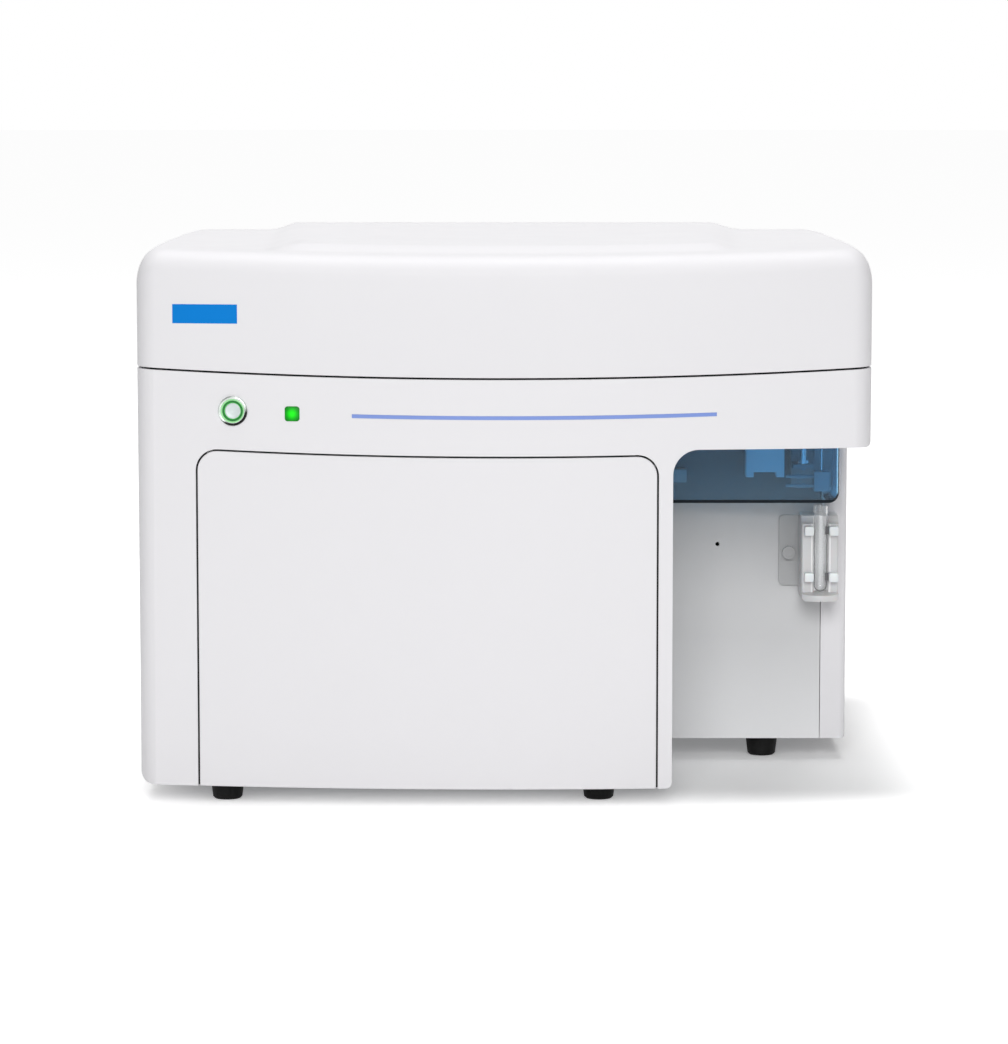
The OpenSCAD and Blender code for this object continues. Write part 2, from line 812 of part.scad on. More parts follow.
module grille() {
  for (r = [18, 27, 36, 45, 54]) difference() {
    circle(r = r);
    circle(r = r - 5);
    for (a = [45, 135]) rotate(a) square([130, 5], center = true);
  }
}

module rear_panel() {
  color(pale) difference() {
    box([-pan_x, rear_y - 3, body_bottom + 0.4], [pan_x, rear_y, side_top]);
    translate([fan_x, rear_y + 1, fan_z]) rotate([90, 0, 0]) linear_extrude(height = 5) grille();
    translate([0, rear_y + 1, 0]) rotate([90, 0, 0]) linear_extrude(height = 5) {
      vent_slots(-230, 250, 24, 60);
      translate([inlet_x, inlet_z]) square([48.4, 28.4], center = true);
      translate([rocker_x, rocker_z]) square([22.4, 30.4], center = true);
      translate([port_x, 90]) square([56.4, 24.4], center = true);
      for (x = fitting_xs) translate([x, fitting_z]) circle(r = 6.1);
    }
  }
}

// Mains inlet, switch housing, data ports and quick-connect fluid fittings.
rocker_hole_h = 26;
rocker_y = rear_y - 6;
module rear_connectors() {
  face = rear_y + 2;
  color(dark) {
    difference() {
      union() {
        box([inlet_x - 24, rear_y - 28, inlet_z - 14], [inlet_x + 24, rear_y + eps, inlet_z + 14]);
        box([inlet_x - 28, rear_y, inlet_z - 18], [inlet_x + 28, face, inlet_z + 18]);
      }
      translate([inlet_x, face + 1, inlet_z]) rotate([90, 0, 0]) linear_extrude(height = 20)
        polygon([[-14, -10], [14, -10], [14, 6], [9, 11], [-9, 11], [-14, 6]]);
    }
    for (k = [-1, 0, 1]) box([inlet_x + 7*k - 1, rear_y - 18.5, inlet_z - 3 + (k == 0 ? 4 : 0)],
      [inlet_x + 7*k + 1, rear_y - 2, inlet_z + 2 + (k == 0 ? 4 : 0)]);
    difference() {
      union() {
        box([rocker_x - 11, rear_y - 26, rocker_z - 15], [rocker_x + 11, rear_y + eps, rocker_z + 15]);
        box([rocker_x - 14, rear_y, rocker_z - 18], [rocker_x + 14, face, rocker_z + 18]);
      }
      box([rocker_x - 8, rear_y - 20, rocker_z - rocker_hole_h/2],
          [rocker_x + 8, face + 1, rocker_z + rocker_hole_h/2]);
      translate([rocker_x - 9, rocker_y, rocker_z]) rotate([0, 90, 0]) cylinder(r = 1.55, h = 18);
    }
    difference() {
      union() {
        box([port_x - 28, rear_y - 20, 78], [port_x + 28, rear_y + eps, 102]);
        box([port_x - 31, rear_y, 75], [port_x + 31, rear_y + 1.5, 105]);
      }
      box([port_x - 22, rear_y - 14, 84], [port_x - 6, rear_y + 3, 96]);
      box([port_x + 6, rear_y - 14, 83], [port_x + 21, rear_y + 3, 97]);
    }
  }
  color(steel) for (x = fitting_xs) translate([x, rear_y - 14, fitting_z]) rotate([-90, 0, 0]) difference() {
    union() {
      cylinder(r = 6, h = 14);
      translate([0, 0, 14]) cylinder(r = 8, h = 3);
      cylinder(r = 4, h = 24);
    }
    translate([0, 0, -1]) cylinder(r = 2, h = 30);
  }
}

module mains_rocker() {
  color(black) translate([rocker_x, rocker_y, rocker_z]) rotate([90, 0, 90]) translate([0, 0, -7.6]) {
    linear_extrude(height = 15.2) polygon([[-6, -5], [-6, 5], [7, 12], [4.2, 0], [6.2, -12]]);
    translate([0, 0, -1.2]) cylinder(r = 1.5, h = 17.6);
  }
}

module cooling_fan() {
  back = rear_y - 3;
  depth = 25;
  color(dark) difference() {
    translate([fan_x, back, fan_z]) rotate([90, 0, 0]) linear_extrude(height = depth)
      rounded_rect(fan_size, fan_size, 6);
    rod_y(fan_x, fan_z, back - depth - 1, back - 3, 57);
    translate([fan_x, back + 1, fan_z]) rotate([90, 0, 0]) linear_extrude(height = 6) difference() {
      circle(r = 57);
      circle(r = 22);
      for (a = [20, 140, 260]) rotate(a) translate([20, -2.5]) square([40, 5]);
    }
    for (sx = [-1, 1], sz = [-1, 1]) rod_y(fan_x + sx*52.5, fan_z + sz*52.5, back - depth - 1, back + 1, 2.2);
  }
  color(steel) rod_y(fan_x, fan_z, back - 9, back - 3, 2);
}

fan_blades = 7;
module fan_rotor() {
  front = rear_y - 3 - 24;
  color(black) difference() {
    union() {
      rod_y(fan_x, fan_z, front, front + 19, 20);
      for (k = [0:fan_blades - 1]) translate([fan_x, front + 9.5, fan_z]) rotate([0, k*360/fan_blades, 0])
        translate([36, 0, 0]) rotate([38, 0, 0]) cube([36, 1.8, 20], center = true);
    }
    rod_y(fan_x, fan_z, front + 10, front + 20, 2.05);
  }
}

module foot_at(x, y) {
  translate([x, y, 0]) rotate_extrude() difference() {
    polygon([[0, 0], [10.6, 0], [12.2, 1.6], [13.8, foot_h - 4], [13.8, foot_h], [0, foot_h]]);
    translate([-1, -1]) square([6, 6]);
  }
}

foot_spots = [[-229.7, -259.5], [78.3, -259.5], [227.5, -40.5], [-229.7, 270], [229.7, 270]];
module feet() {
  color(black) for (p = foot_spots) foot_at(p.x, p.y);
}

// ---------- controls ----------

button_r = 6.4;
ring_in = 6.65;
ring_out = 8.6;
module button_bezel() {
  color(steel) on_front(button_x, button_z) rotate([90, 0, 0]) rotate_extrude()
    polygon([[ring_out, -20], [ring_out, 1.2], [9.6, 2], [11.2, 1.8], [bezel_r, 0.9], [bezel_r, 0],
      [bezel_hole_r - 0.1, 0], [bezel_hole_r - 0.1, -23], [0, -23], [0, -20]]);
}

module button_cap() {
  color(alu) on_front(button_x, button_z) rotate([90, 0, 0]) rotate_extrude()
    polygon([[0, -14], [0, 1.1], [3.2, 1.2], [5.6, 1.5], [button_r, 1.1], [button_r, -14]]);
}

module status_lights() {
  color(green) {
    on_front(button_x, button_z) rotate([90, 0, 0]) translate([0, 0, -20])
      tube(ring_out - 0.05, ring_in, 21.2);
    on_front(status_x, status_z) translate([0, skin, 0]) rotate([90, 0, 0])
      linear_extrude(height = skin + 0.3) rounded_rect(status_w, status_w, 2.5);
  }
}

// ---------- sampling station ----------

shield_l = 141;
shield_r = 288.4;
shield_front = -122;
shield_low = 231.5;
shield_t = 2;
shield_corner = 10;
rim_h = 2.6;

// Splash shield: three walls under the overhang with a rounded upright corner and lower corner.
module shield_shell() {
  c = shield_corner;
  difference() {
    intersection() {
      linear_extrude(height = 400) shield_plan(0);
      along_y(shield_front, recess_y) shield_side(0, shield_low);
    }
    intersection() {
      linear_extrude(height = 400) shield_plan(shield_t);
      along_y(shield_front, recess_y + 1) shield_side(shield_t, shield_low - 1);
    }
  }
}

module shield_plan(d) {
  r = shield_corner - d;
  l = shield_l + d;
  t = shield_r - d;
  f = shield_front + d;
  translate([l, f]) square([t - r - l, recess_y + d - f]);
  translate([l, f + r]) square([t - l, recess_y + d - f - r]);
  translate([t - r, f + r]) circle(r = r);
}

module shield_side(d, low) {
  r = shield_corner - d;
  t = shield_r - d;
  z = shield_low + shield_corner;
  translate([shield_l + d, low]) square([t - r - shield_l - d, overhang_h + d - low]);
  translate([shield_l + d, z]) square([t - shield_l - d, overhang_h + d - z]);
  translate([t - r, z]) circle(r = r);
}

module probe_shield() {
  color(blue) intersection() {
    shield_shell();
    box([0, -200, shield_low + rim_h], [half_w, 0, overhang_h]);
  }
}

module shield_rim() {
  color(black) intersection() {
    shield_shell();
    box([0, -200, 0], [half_w, 0, shield_low + rim_h]);
  }
}

frame_front = recess_y - 4;
rail_x = tube_x;
rail_front = frame_front - 5;
screw_x = 259;
screw_y0 = -86;
lead_r = 3;
carriage_z = 362;
carriage_h = 24;
top_shelf_z = 398;
low_shelf_z = 258;

module probe_frame() {
  color(alu) {
    difference() {
      union() {
        box([250, frame_front, 240], [286, recess_y, top_shelf_z + 4]);
        box([245, -102, top_shelf_z], [286, recess_y, top_shelf_z + 4]);
        box([250, -94, low_shelf_z], [267, recess_y, low_shelf_z + 4]);
      }
      translate([screw_x, screw_y0, 200]) cylinder(r = lead_r + 0.05, h = 300);
      for (z = [290, 330, 370]) rod_y(261, z, frame_front - 1, recess_y + 1, 5);
    }
    difference() {
      box([rail_x - 4, rail_front, 266], [rail_x + 4, frame_front, 394]);
      for (sx = [-1, 1]) translate([rail_x + sx*4, frame_front - 2, 260]) cylinder(r = 0.9, h = 140);
    }
  }
}

module probe_motor() {
  z = top_shelf_z + 4;
  color(dark) translate([screw_x, screw_y0, z]) {
    difference() {
      linear_extrude(height = 30) rounded_rect(28, 28, 3);
      translate([0, 0, -1]) cylinder(r = 5, h = 3);
      for (h = [6, 22]) translate([0, 0, h]) difference() {
        translate([0, 0, 1]) cube([40, 40, 2], center = true);
        cube([26.6, 26.6, 5], center = true);
      }
    }
  }
}

// Lead screw with a grooved thread between its two bearings.
module probe_lead_screw() {
  turns = 22;
  pitch = 5;
  z0 = 270;
  color(steel) translate([screw_x, screw_y0, 0]) difference() {
    union() {
      translate([0, 0, low_shelf_z - 1]) cylinder(r = lead_r, h = top_shelf_z + 5 - low_shelf_z);
      translate([0, 0, low_shelf_z + 4.4]) cylinder(r = 5, h = 3);
    }
    for (k = [0:turns - 1]) translate([0, 0, z0 + k*pitch]) rotate_extrude()
      polygon([[lead_r + 1, -1], [lead_r + 1, 1], [lead_r - 0.5, 0.4], [lead_r - 0.5, -0.4]]);
  }
}

module probe_carriage() {
  z = carriage_z;
  color(dark) difference() {
    union() {
      box([rail_x - 9, -86, z], [rail_x + 9, frame_front - 0.8, z + carriage_h]);
      translate([screw_x, screw_y0, z]) cylinder(r = 7.5, h = carriage_h);
      box([screw_x, -90, z], [rail_x, -80, z + carriage_h]);
      box([rail_x - 5, tube_y - 6, z + 4], [rail_x + 5, -85, z + 16]);
    }
    box([rail_x - 4.3, rail_front - 0.3, z - 1], [rail_x + 4.3, recess_y, z + carriage_h + 1]);
    translate([screw_x, screw_y0, z - 1]) cylinder(r = lead_r + 0.05, h = carriage_h + 2);
    translate([tube_x, tube_y, z - 1]) cylinder(r = 0.8, h = carriage_h + 2);
    translate([tube_x, tube_y, z + 12]) cylinder(r = 3, h = 20);
  }
}

probe_tip_z = 240;
module sample_probe() {
  color(steel) translate([tube_x, tube_y, 0]) {
    translate([0, 0, probe_tip_z]) tube(0.8, 0.4, carriage_z + 14 - probe_tip_z);
    translate([0, 0, carriage_z + 12]) difference() {
      union() {
        cylinder(r = 3, h = 5);
        translate([0, 0, 5]) cylinder(r = 4, h = 6, $fn = 6);
        translate([0, 0, 11]) cylinder(r = 1.5, h = 6);
      }
      translate([0, 0, -1]) cylinder(r = 0.8, h = 4);
    }
  }
}

// Block that rinses the probe, with two barbed hose tails.
module wash_station() {
  color(pale) difference() {
    union() {
      box([tube_x - 6.5, -108, 240], [tube_x + 6.5, -92, 257]);
      box([tube_x - 4, -92, 243], [tube_x + 4, frame_front, 254]);
      for (z = [244.5, 252.5]) translate([tube_x - 6.5, -102, z]) rotate([0, -90, 0]) rotate_extrude()
        polygon([[0, -2], [1.6, -2], [1.6, 8], [2.4, 8], [1.6, 12], [2.4, 12], [1.4, 17], [1.4, 24],
          [0, 24]]);
    }
    translate([tube_x, tube_y, 200]) cylinder(r = 1.6, h = 80);
  }
}

// Liquid sensor that hangs from the overhang, notched along its lower edge.
module level_sensor() {
  low = 252;
  h = overhang_h - low;
  color(blue) difference() {
    translate([208.5, -84, low]) rotate([90, 0, 0]) linear_extrude(height = 20)
      polygon([[0, 0], [6.6, 0], [6.6, 4.4], [26, 4.4], [26, 0], [33, 0], [33, h], [0, h]]);
    for (x = [215, 235]) rod_y(x, 286, -105, -100, 2);
  }
}

holder_plate_t = 3;
holder_front = recess_y - holder_plate_t;
plate_l = 239.8;
plate_z = 184.7;
plate_h = 61.6;
holder_l = 257;
holder_r = 288.9;
holder_low = 152;
holder_top = 217.7;
block_front = -94;
arm_front = -104;
// Half the width of the way that the tube slides out along.
slide_half = tube_r + 0.4;

// Tube holder: a mounting plate, a grooved channel block and a tray under the tube.
module tube_holder() {
  mid = (plate_l + holder_r)/2;
  color(pale) {
    difference() {
      union() {
        translate([mid, recess_y, plate_z]) rotate([90, 0, 0]) linear_extrude(height = holder_plate_t)
          rounded_rect(holder_r - plate_l, plate_h, 4);
        holder_block();
      }
      rod_y(holder_screw_x, holder_screw_z, holder_front - 1, recess_y + 1, 2.05);
      translate([tube_x, tube_y, holder_low]) cylinder(r = tube_r + 0.7, h = 100);
      translate([holder_l - 1, arm_front, holder_top + 3.3]) rotate([0, 90, 0])
        cylinder(r = 9.5, h = holder_r - holder_l + 2);
    }
    tray();
  }
}

module holder_block() {
  translate([0, 0, holder_low]) linear_extrude(height = holder_top - holder_low) {
    translate([holder_l, block_front]) square([holder_r - holder_l, recess_y - 1 - block_front]);
    arm_plan(holder_l, tube_x - slide_half);
    arm_plan(tube_x + slide_half, holder_r);
  }
}

// One arm of the channel in plan, with rounded front corners.
module arm_plan(x0, x1) {
  r = 2;
  translate([x0, arm_front + r]) square([x1 - x0, block_front - arm_front]);
  translate([x0 + r, arm_front]) square([x1 - x0 - 2*r, 2*r]);
  for (x = [x0 + r, x1 - r]) translate([x, arm_front + r]) circle(r = r);
}

// Tray with a bowed lip, rounded lower corners and a top that falls towards the front.
module tray() {
  front = -118;
  low = holder_low - 6.6;
  lip_r = 26;
  edge_r = 4;
  inset = 3.6;
  fall = 1.7;
  w = holder_r - holder_l;
  intersection() {
    translate([0, 0, low]) linear_extrude(height = holder_low - low) union() {
      intersection() {
        translate([(holder_l + holder_r)/2, front + lip_r]) circle(r = lip_r);
        translate([holder_l, front - 1]) square([w, 20]);
      }
      translate([holder_l, front + 16]) square([w, recess_y - 2 - front - 16]);
    }
    along_y(front - 1, recess_y) {
      translate([holder_l + inset, low]) square([w - 2*inset, 10]);
      translate([holder_l - 1, low + edge_r]) square([w + 2, 10]);
      for (x = [holder_l + inset, holder_r - inset]) translate([x, low + edge_r]) circle(r = edge_r);
    }
    translate([holder_l - 1, 0, 0]) rotate([90, 0, 90]) linear_extrude(height = w + 2)
      polygon([[front - 1, low - 1], [recess_y, low - 1], [recess_y, holder_low + 1],
        [arm_front, holder_low + 1], [arm_front, holder_low], [front - 1, holder_low - fall]]);
  }
}

module holder_clips() {
  w = 8;
  color(white) for (z = [161.7, 202], x = [tube_x - 14.6, tube_x + 6.6]) translate([x, arm_front, z])
    rotate([90, 0, 0]) linear_extrude(height = 9) translate([w/2, w/2]) rounded_rect(w, w, 1.5);
}

// Knurled thumbscrew that clamps the holder to the wall.
module holder_screw() {
  color(pale) translate([holder_screw_x, holder_front - 0.1, holder_screw_z]) rotate([90, 0, 0]) {
    difference() {
      cylinder(r = 5.8, h = 5);
      for (a = [0:20:340]) rotate(a) translate([5.9, 0, -1]) cylinder(r = 0.5, h = 7);
      translate([0, 0, 4]) cylinder(r = 3.6, h = 2);
    }
    translate([0, 0, -10]) cylinder(r = 2, h = 10 + eps);
  }
}

module sample_tube() {
  wall = 1;
  color(clear) translate([tube_x, tube_y, holder_low + eps]) difference() {
    union() {
      translate([0, 0, tube_r]) sphere(r = tube_r);
      translate([0, 0, tube_r]) cylinder(r = tube_r, h = tube_h - tube_r);
    }
    translate([0, 0, tube_r]) sphere(r = tube_r - wall);
    translate([0, 0, tube_r]) cylinder(r = tube_r - wall, h = tube_h);
  }
}

// ---------- optical bench under the cover ----------

bench_l = -230;
bench_right = 236;
bench_front = -230;
bench_back = 236;
damper_spots = [[-200, -195], [200, -195], [-200, 200], [200, 200]];
laser_n = 5;
laser_pitch = 46;
function laser_x(k) = -196 + k*laser_pitch;

module optical_bench() {
  web = 8;
  color(alu) difference() {
    union() {
      box([bench_l, bench_front, bench_top - 12], [bench_right, bench_back, bench_top]);
      for (x = [bench_l:93:bench_right]) box([min(x, bench_right - web), bench_front, bench_z + 2],
        [min(x + web, bench_right), bench_back, bench_top - 11]);
      for (y = [bench_front:91.6:bench_back]) box([bench_l, min(y, bench_back - web), bench_z + 2],
        [bench_right, min(y + web, bench_back), bench_top - 11]);
      for (p = damper_spots) translate([p.x, p.y, bench_z]) cylinder(r = 18, h = bench_t - 1);
    }
    for (x = [-215:43:225], y = [-215, 28, 221]) translate([x, y, bench_top - 8]) cylinder(r = 2, h = 9);
  }
}

module bench_dampers() {
  h = bench_z - deck_z - deck_t;
  color(black) for (p = damper_spots) translate([p.x, p.y, deck_z + deck_t]) rotate_extrude()
    polygon([[0, 0], [15, 0], [15, 3], [11, 6], [11, h - 6], [15, h - 3], [15, h], [0, h]]);
}

// Laser heads with cooling fins across their tops and an exit barrel at the front.
module laser_heads() {
  color(dark) for (k = [0:laser_n - 1]) translate([laser_x(k), 62, bench_top]) difference() {
    union() {
      translate([-17, 0, 0]) cube([34, 140, 42]);
      translate([0, 1, 22]) rotate([90, 0, 0]) cylinder(r = 8, h = 14);
    }
    for (f = [0:9]) translate([-20, 14 + 12*f, 30]) cube([40, 5, 13]);
    translate([0, 2, 22]) rotate([90, 0, 0]) cylinder(r = 2, h = 20);
  }
}

module mirror_mount() {
  cylinder(r = 8, h = 14);
  translate([0, 0, 22]) rotate([0, 0, 45]) difference() {
    translate([-12, -3, -12]) cube([24, 6, 24]);
    rotate([90, 0, 0]) cylinder(r = 8, h = 10, center = true);
  }
}

module beam_optics() {
  color(steel) {
    for (k = [0:laser_n - 1]) translate([laser_x(k), 8, bench_top]) mirror_mount();
    translate([64, 8, bench_top]) {
      translate([-12, -12, 0]) cube([24, 24, 8]);
      translate([-5, -4, 7]) cube([10, 8, 8]);
      translate([-16, 0, 22]) rotate([0, 90, 0]) tube(12, 9, 32);
    }
  }
  color(clear) for (k = [0:laser_n - 1]) translate([laser_x(k), 8, bench_top + 22]) rotate([90, 0, 45])
    cylinder(r = 8, h = 2, center = true);
}

// Flow chamber: a holder with a square quartz cell, a collecting objective and two fluid lines.
module flow_cell() {
  color(dark) translate([150, 8, bench_top]) {
    difference() {
      translate([-24, -24, 0]) cube([48, 48, 52]);
      translate([-30, -7, 12]) cube([60, 14, 20]);
      translate([-7, -30, 12]) cube([14, 60, 20]);
      translate([-7, -7, 10]) cube([14, 14, 50]);
    }
    translate([0, -24, 22]) rotate([90, 0, 0]) difference() {
      cylinder(r = 17, h = 44);
      translate([0, 0, -1]) cylinder(r = 8, h = 50);
      translate([0, 0, 30]) tube(20, 15.5, 6);
    }
  }
  color(clear) translate([150, 8, bench_top + 10.2]) {
    difference() {
      translate([-6, -6, 0]) cube([12, 12, 50]);
      translate([0, 0, -1]) cylinder(r = 1, h = 60);
    }
  }
}

// One filtered detector row for each laser.
module detector_arrays() {
  cans = 6;
  color(dark) for (k = [0:laser_n - 1]) translate([-210, -212 + k*39, bench_top]) {
    difference() {
      cube([250, 24, 34]);
      for (c = [0:cans]) translate([12 + c*38, -1, 30]) cube([10, 26, 6]);
    }
    for (c = [0:cans - 1]) translate([36 + c*38, 12, 34 - eps]) {
      cylinder(r = 9, h = 22);
      translate([0, 0, 21]) cylinder(r = 6, h = 6);
    }
  }
}

// ---------- electronics and fluidics under the deck ----------

module power_supply() {
  color(steel) difference() {
    box([-252, 110, floor_top], [-136, 286, floor_top + 52]);
    for (k = [0:11]) box([-244, 124 + 12*k, floor_top + 48], [-144, 130 + 12*k, floor_top + 53]);
  }
}

module main_board() {
  color([0.10, 0.35, 0.22]) {
    for (x = [-112, 112], y = [100, 260]) translate([x, y, floor_top]) cylinder(r = 4, h = 12);
    box([-124, 90, floor_top + 12], [124, 272, floor_top + 13.6]);
    for (x = [-100, -50, 40, 90]) box([x, 120, floor_top + 13.6], [x + 28, 148, floor_top + 16]);
    for (k = [0:5]) box([-20 + 7*k, 180, floor_top + 13.6], [-17 + 7*k, 230, floor_top + 34]);
    box([-20, 180, floor_top + 13.6], [18, 230, floor_top + 18]);
  }
}

plate_y = -180;
pump_left_x = -92;
pump_right_x = 2;
pump_z = 98;
module fluidics_plate() {
  color(alu) difference() {
    box([-262, plate_y, floor_top], [126, plate_y + 2, deck_z]);
    for (x = [pump_left_x, pump_right_x]) rod_y(x, pump_z, plate_y - 1, plate_y + 3, 17.5);
    for (x = [-248, 112], z = [40, 280]) rod_y(x, z, plate_y - 1, plate_y + 3, 3);
  }
}

// Syringe drive: a slotted column that carries the barrel's seat and guides the plunger's arm.
syringe_x = -190;
syringe_y = -250;
barrel_low = 150;
barrel_high = 214;
bore_r = 7.3;
module syringe_pump() {
  color(pale) difference() {
    union() {
      box([syringe_x - 26, -236, 50], [syringe_x + 26, plate_y, 262]);
      box([syringe_x - 16, syringe_y - 13, barrel_high], [syringe_x + 16, -235, barrel_high + 30]);
      box([syringe_x - 14, syringe_y - 12, barrel_low - 8], [syringe_x + 14, -235, barrel_low]);
      translate([syringe_x, syringe_y, barrel_high + 29]) cylinder(r = 5, h = 12);
    }
    translate([syringe_x, syringe_y, barrel_low - 9]) cylinder(r = 4, h = 10);
    box([syringe_x - 5, -240, 64], [syringe_x + 5, -216, barrel_low - 8.5]);
    translate([syringe_x, syringe_y - 12, barrel_high + 15]) rotate([90, 0, 0]) cylinder(r = 9, h = 3);
  }
}

module syringe_barrel() {
  color(clear) translate([syringe_x, syringe_y, barrel_low])
    tube(bore_r + 1.7, bore_r, barrel_high - barrel_low);
}

module syringe_plunger() {
  top = barrel_high - 2;
  arm_z = barrel_low - 22;
  color(steel) {
    translate([syringe_x, syringe_y, top - 8]) cylinder(r = bore_r - 0.05, h = 8);
    translate([syringe_x, syringe_y, arm_z + 4]) cylinder(r = 3, h = top - arm_z - 11);
    box([syringe_x - 8, syringe_y - 8, arm_z], [syringe_x + 8, syringe_y + 7, arm_z + 8]);
    box([syringe_x - 4, syringe_y + 6, arm_z], [syringe_x + 4, -220, arm_z + 8]);
  }
}

// Two peristaltic heads, each with a round track, three rollers and a motor behind the plate.
track_r = 27;
pump_front = plate_y - 30;

module pump_heads() {
  color(grey) for (x = [pump_left_x, pump_right_x]) {
    difference() {
      union() {
        rod_y(x, pump_z, pump_front, plate_y, 36);
        box([x - 36, pump_front, pump_z], [x + 36, plate_y, pump_z + 30]);
      }
      rod_y(x, pump_z, pump_front - 1, plate_y - 6, track_r);
      rod_y(x, pump_z, plate_y - 7, plate_y + 1, 3.05);
      for (s = [-1, 1]) translate([x + s*(track_r - 1.5), (pump_front + plate_y)/2 - 3, pump_z])
        cylinder(r = 1.6, h = 40);
    }
    rod_y(x, pump_z, plate_y + 8, plate_y + 60, 17);
    rod_y(x, pump_z, plate_y, plate_y + 8.1, 12);
  }
}

module pump_rotor(x) {
  front = pump_front + 3;
  back = plate_y - 6.4;
  color(dark) {
    rod_y(x, pump_z, back - 1, plate_y - 0.4, 3);
    for (y = [front, back - 3]) rod_y(x, pump_z, y, y + 3, 16);
    rod_y(x, pump_z, front, back, 6);
    for (a = [90, 210, 330]) rod_y(x + 18*cos(a), pump_z + 18*sin(a), front + 0.5, back - 0.5, 6);
  }
}

module pump_rotor_left() {
  pump_rotor(pump_left_x);
}

module pump_rotor_right() {
  pump_rotor(pump_right_x);
}

module valve_manifold() {
  valves = 5;
  color(pale) {
    box([-110, plate_y - 24, 176], [50, plate_y, 208]);
    for (k = [0:valves - 1]) {
      rod_y(-94 + 32*k, 192, plate_y - 62, plate_y - 24, 11);
      translate([-94 + 32*k, plate_y - 12, 208]) cylinder(r = 3, h = 12);
      translate([-94 + 32*k, plate_y - 12, 168]) cylinder(r = 3, h = 8);
    }
  }
}

// Capsule filter in two clips.
module sheath_filter() {
  x = 88;
  y = plate_y - 34;
  color(clear) translate([x, y, 60]) rotate_extrude()
    polygon([[0, 0], [4, 0], [4, 12], [14, 18], [26, 24], [26, 30], [23, 32], [23, 108], [26, 110],
      [26, 116], [14, 122], [4, 128], [4, 140], [0, 140]]);
  color(dark) for (z = [104, 152]) difference() {
    box([x - 12, y, z], [x + 12, plate_y, z + 10]);
    translate([x, y, z - 1]) cylinder(r = 23, h = 12);
  }
}

top_cover();
lid_frame();
lid_hinge_leaves();
body_hinge_leaves();
lid_hinge_pins();
seam_gasket();
front_frame();
front_door();
door_hinge_arms();
door_hinge_brackets();
door_hinge_pins();
door_catches();
left_side_panel();
right_side_panel();
recess_wall();
recess_side_wall();
overhang_floor();
base_pan();
chassis_walls();
deck_plate();
rear_panel();
feet();
button_bezel();
button_cap();
status_lights();
light_strip();
probe_shield();
shield_rim();
probe_frame();
probe_motor();
probe_lead_screw();
probe_carriage();
sample_probe();
wash_station();
level_sensor();
tube_holder();
holder_clips();
holder_screw();
sample_tube();
optical_bench();
bench_dampers();
laser_heads();
beam_optics();
flow_cell();
detector_arrays();
power_supply();
main_board();
fluidics_plate();
syringe_pump();
syringe_barrel();
syringe_plunger();
pump_heads();
pump_rotor_left();
pump_rotor_right();
valve_manifold();
sheath_filter();
cooling_fan();
fan_rotor();
rear_connectors();
mains_rocker();
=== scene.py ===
import math

import bmesh
import bpy
from mathutils import Matrix, Vector


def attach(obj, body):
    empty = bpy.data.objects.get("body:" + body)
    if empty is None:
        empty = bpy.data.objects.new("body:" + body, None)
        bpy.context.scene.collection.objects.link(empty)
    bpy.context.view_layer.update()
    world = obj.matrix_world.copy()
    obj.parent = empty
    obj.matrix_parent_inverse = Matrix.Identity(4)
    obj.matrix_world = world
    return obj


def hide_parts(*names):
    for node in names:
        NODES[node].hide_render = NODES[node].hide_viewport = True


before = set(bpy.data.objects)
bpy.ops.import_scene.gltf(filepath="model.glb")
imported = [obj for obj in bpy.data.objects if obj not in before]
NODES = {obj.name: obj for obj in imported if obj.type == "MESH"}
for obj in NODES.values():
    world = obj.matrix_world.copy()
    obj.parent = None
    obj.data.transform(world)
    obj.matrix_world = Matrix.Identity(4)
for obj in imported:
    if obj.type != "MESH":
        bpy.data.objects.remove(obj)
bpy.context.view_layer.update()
MM = 0.001

# ---------------------------------------------------------------- materials

# Nearly every noise value lies between these two.
NOISE_LOW, NOISE_HIGH = 0.3, 0.7
NOISE_ROUGHNESS = 0.55


def new_material(name):
    m = bpy.data.materials.new(name)
    m.use_nodes = True
    nt = m.node_tree
    return m, nt, nt.nodes["Principled BSDF"]


def coords(nt, stretch=(1, 1, 1)):
    """Object coordinates, stretched along the axes."""
    c = nt.nodes.new("ShaderNodeTexCoord")
    p = nt.nodes.new("ShaderNodeMapping")
    p.inputs["Scale"].default_value = stretch
    nt.links.new(c.outputs["Object"], p.inputs["Vector"])
    return p.outputs["Vector"]


def noise(nt, vector, scale, detail=3.0):
    n = nt.nodes.new("ShaderNodeTexNoise")
    n.inputs["Scale"].default_value = scale
    n.inputs["Detail"].default_value = detail
    n.inputs["Roughness"].default_value = NOISE_ROUGHNESS
    nt.links.new(vector, n.inputs["Vector"])
    return n.outputs["Fac"]


def ramp(nt, fac, stops):
    """A colour ramp through (position, colour) pairs."""
    r = nt.nodes.new("ShaderNodeValToRGB")
    el = r.color_ramp.elements
    el[0].position, el[0].color = stops[0][0], (*stops[0][1], 1)
    el[1].position, el[1].color = stops[-1][0], (*stops[-1][1], 1)
    for p, c in stops[1:-1]:
        e = el.new(p)
        e.color = (*c, 1)
    nt.links.new(fac, r.inputs["Fac"])
    return r.outputs["Color"]


def span(nt, fac, low, high):
    """Spreads a noise value over the range from low to high."""
    m = nt.nodes.new("ShaderNodeMapRange")
    m.inputs["From Min"].default_value = NOISE_LOW
    m.inputs["From Max"].default_value = NOISE_HIGH
    m.inputs["To Min"].default_value = low
    m.inputs["To Max"].default_value = high
    nt.links.new(fac, m.inputs["Value"])
    return m.outputs["Result"]


def bump(nt, height, distance):
    b = nt.nodes.new("ShaderNodeBump")
    b.inputs["Distance"].default_value = distance
    b.inputs["Strength"].default_value = 1.0
    nt.links.new(height, b.inputs["Height"])
    return b.outputs["Normal"]


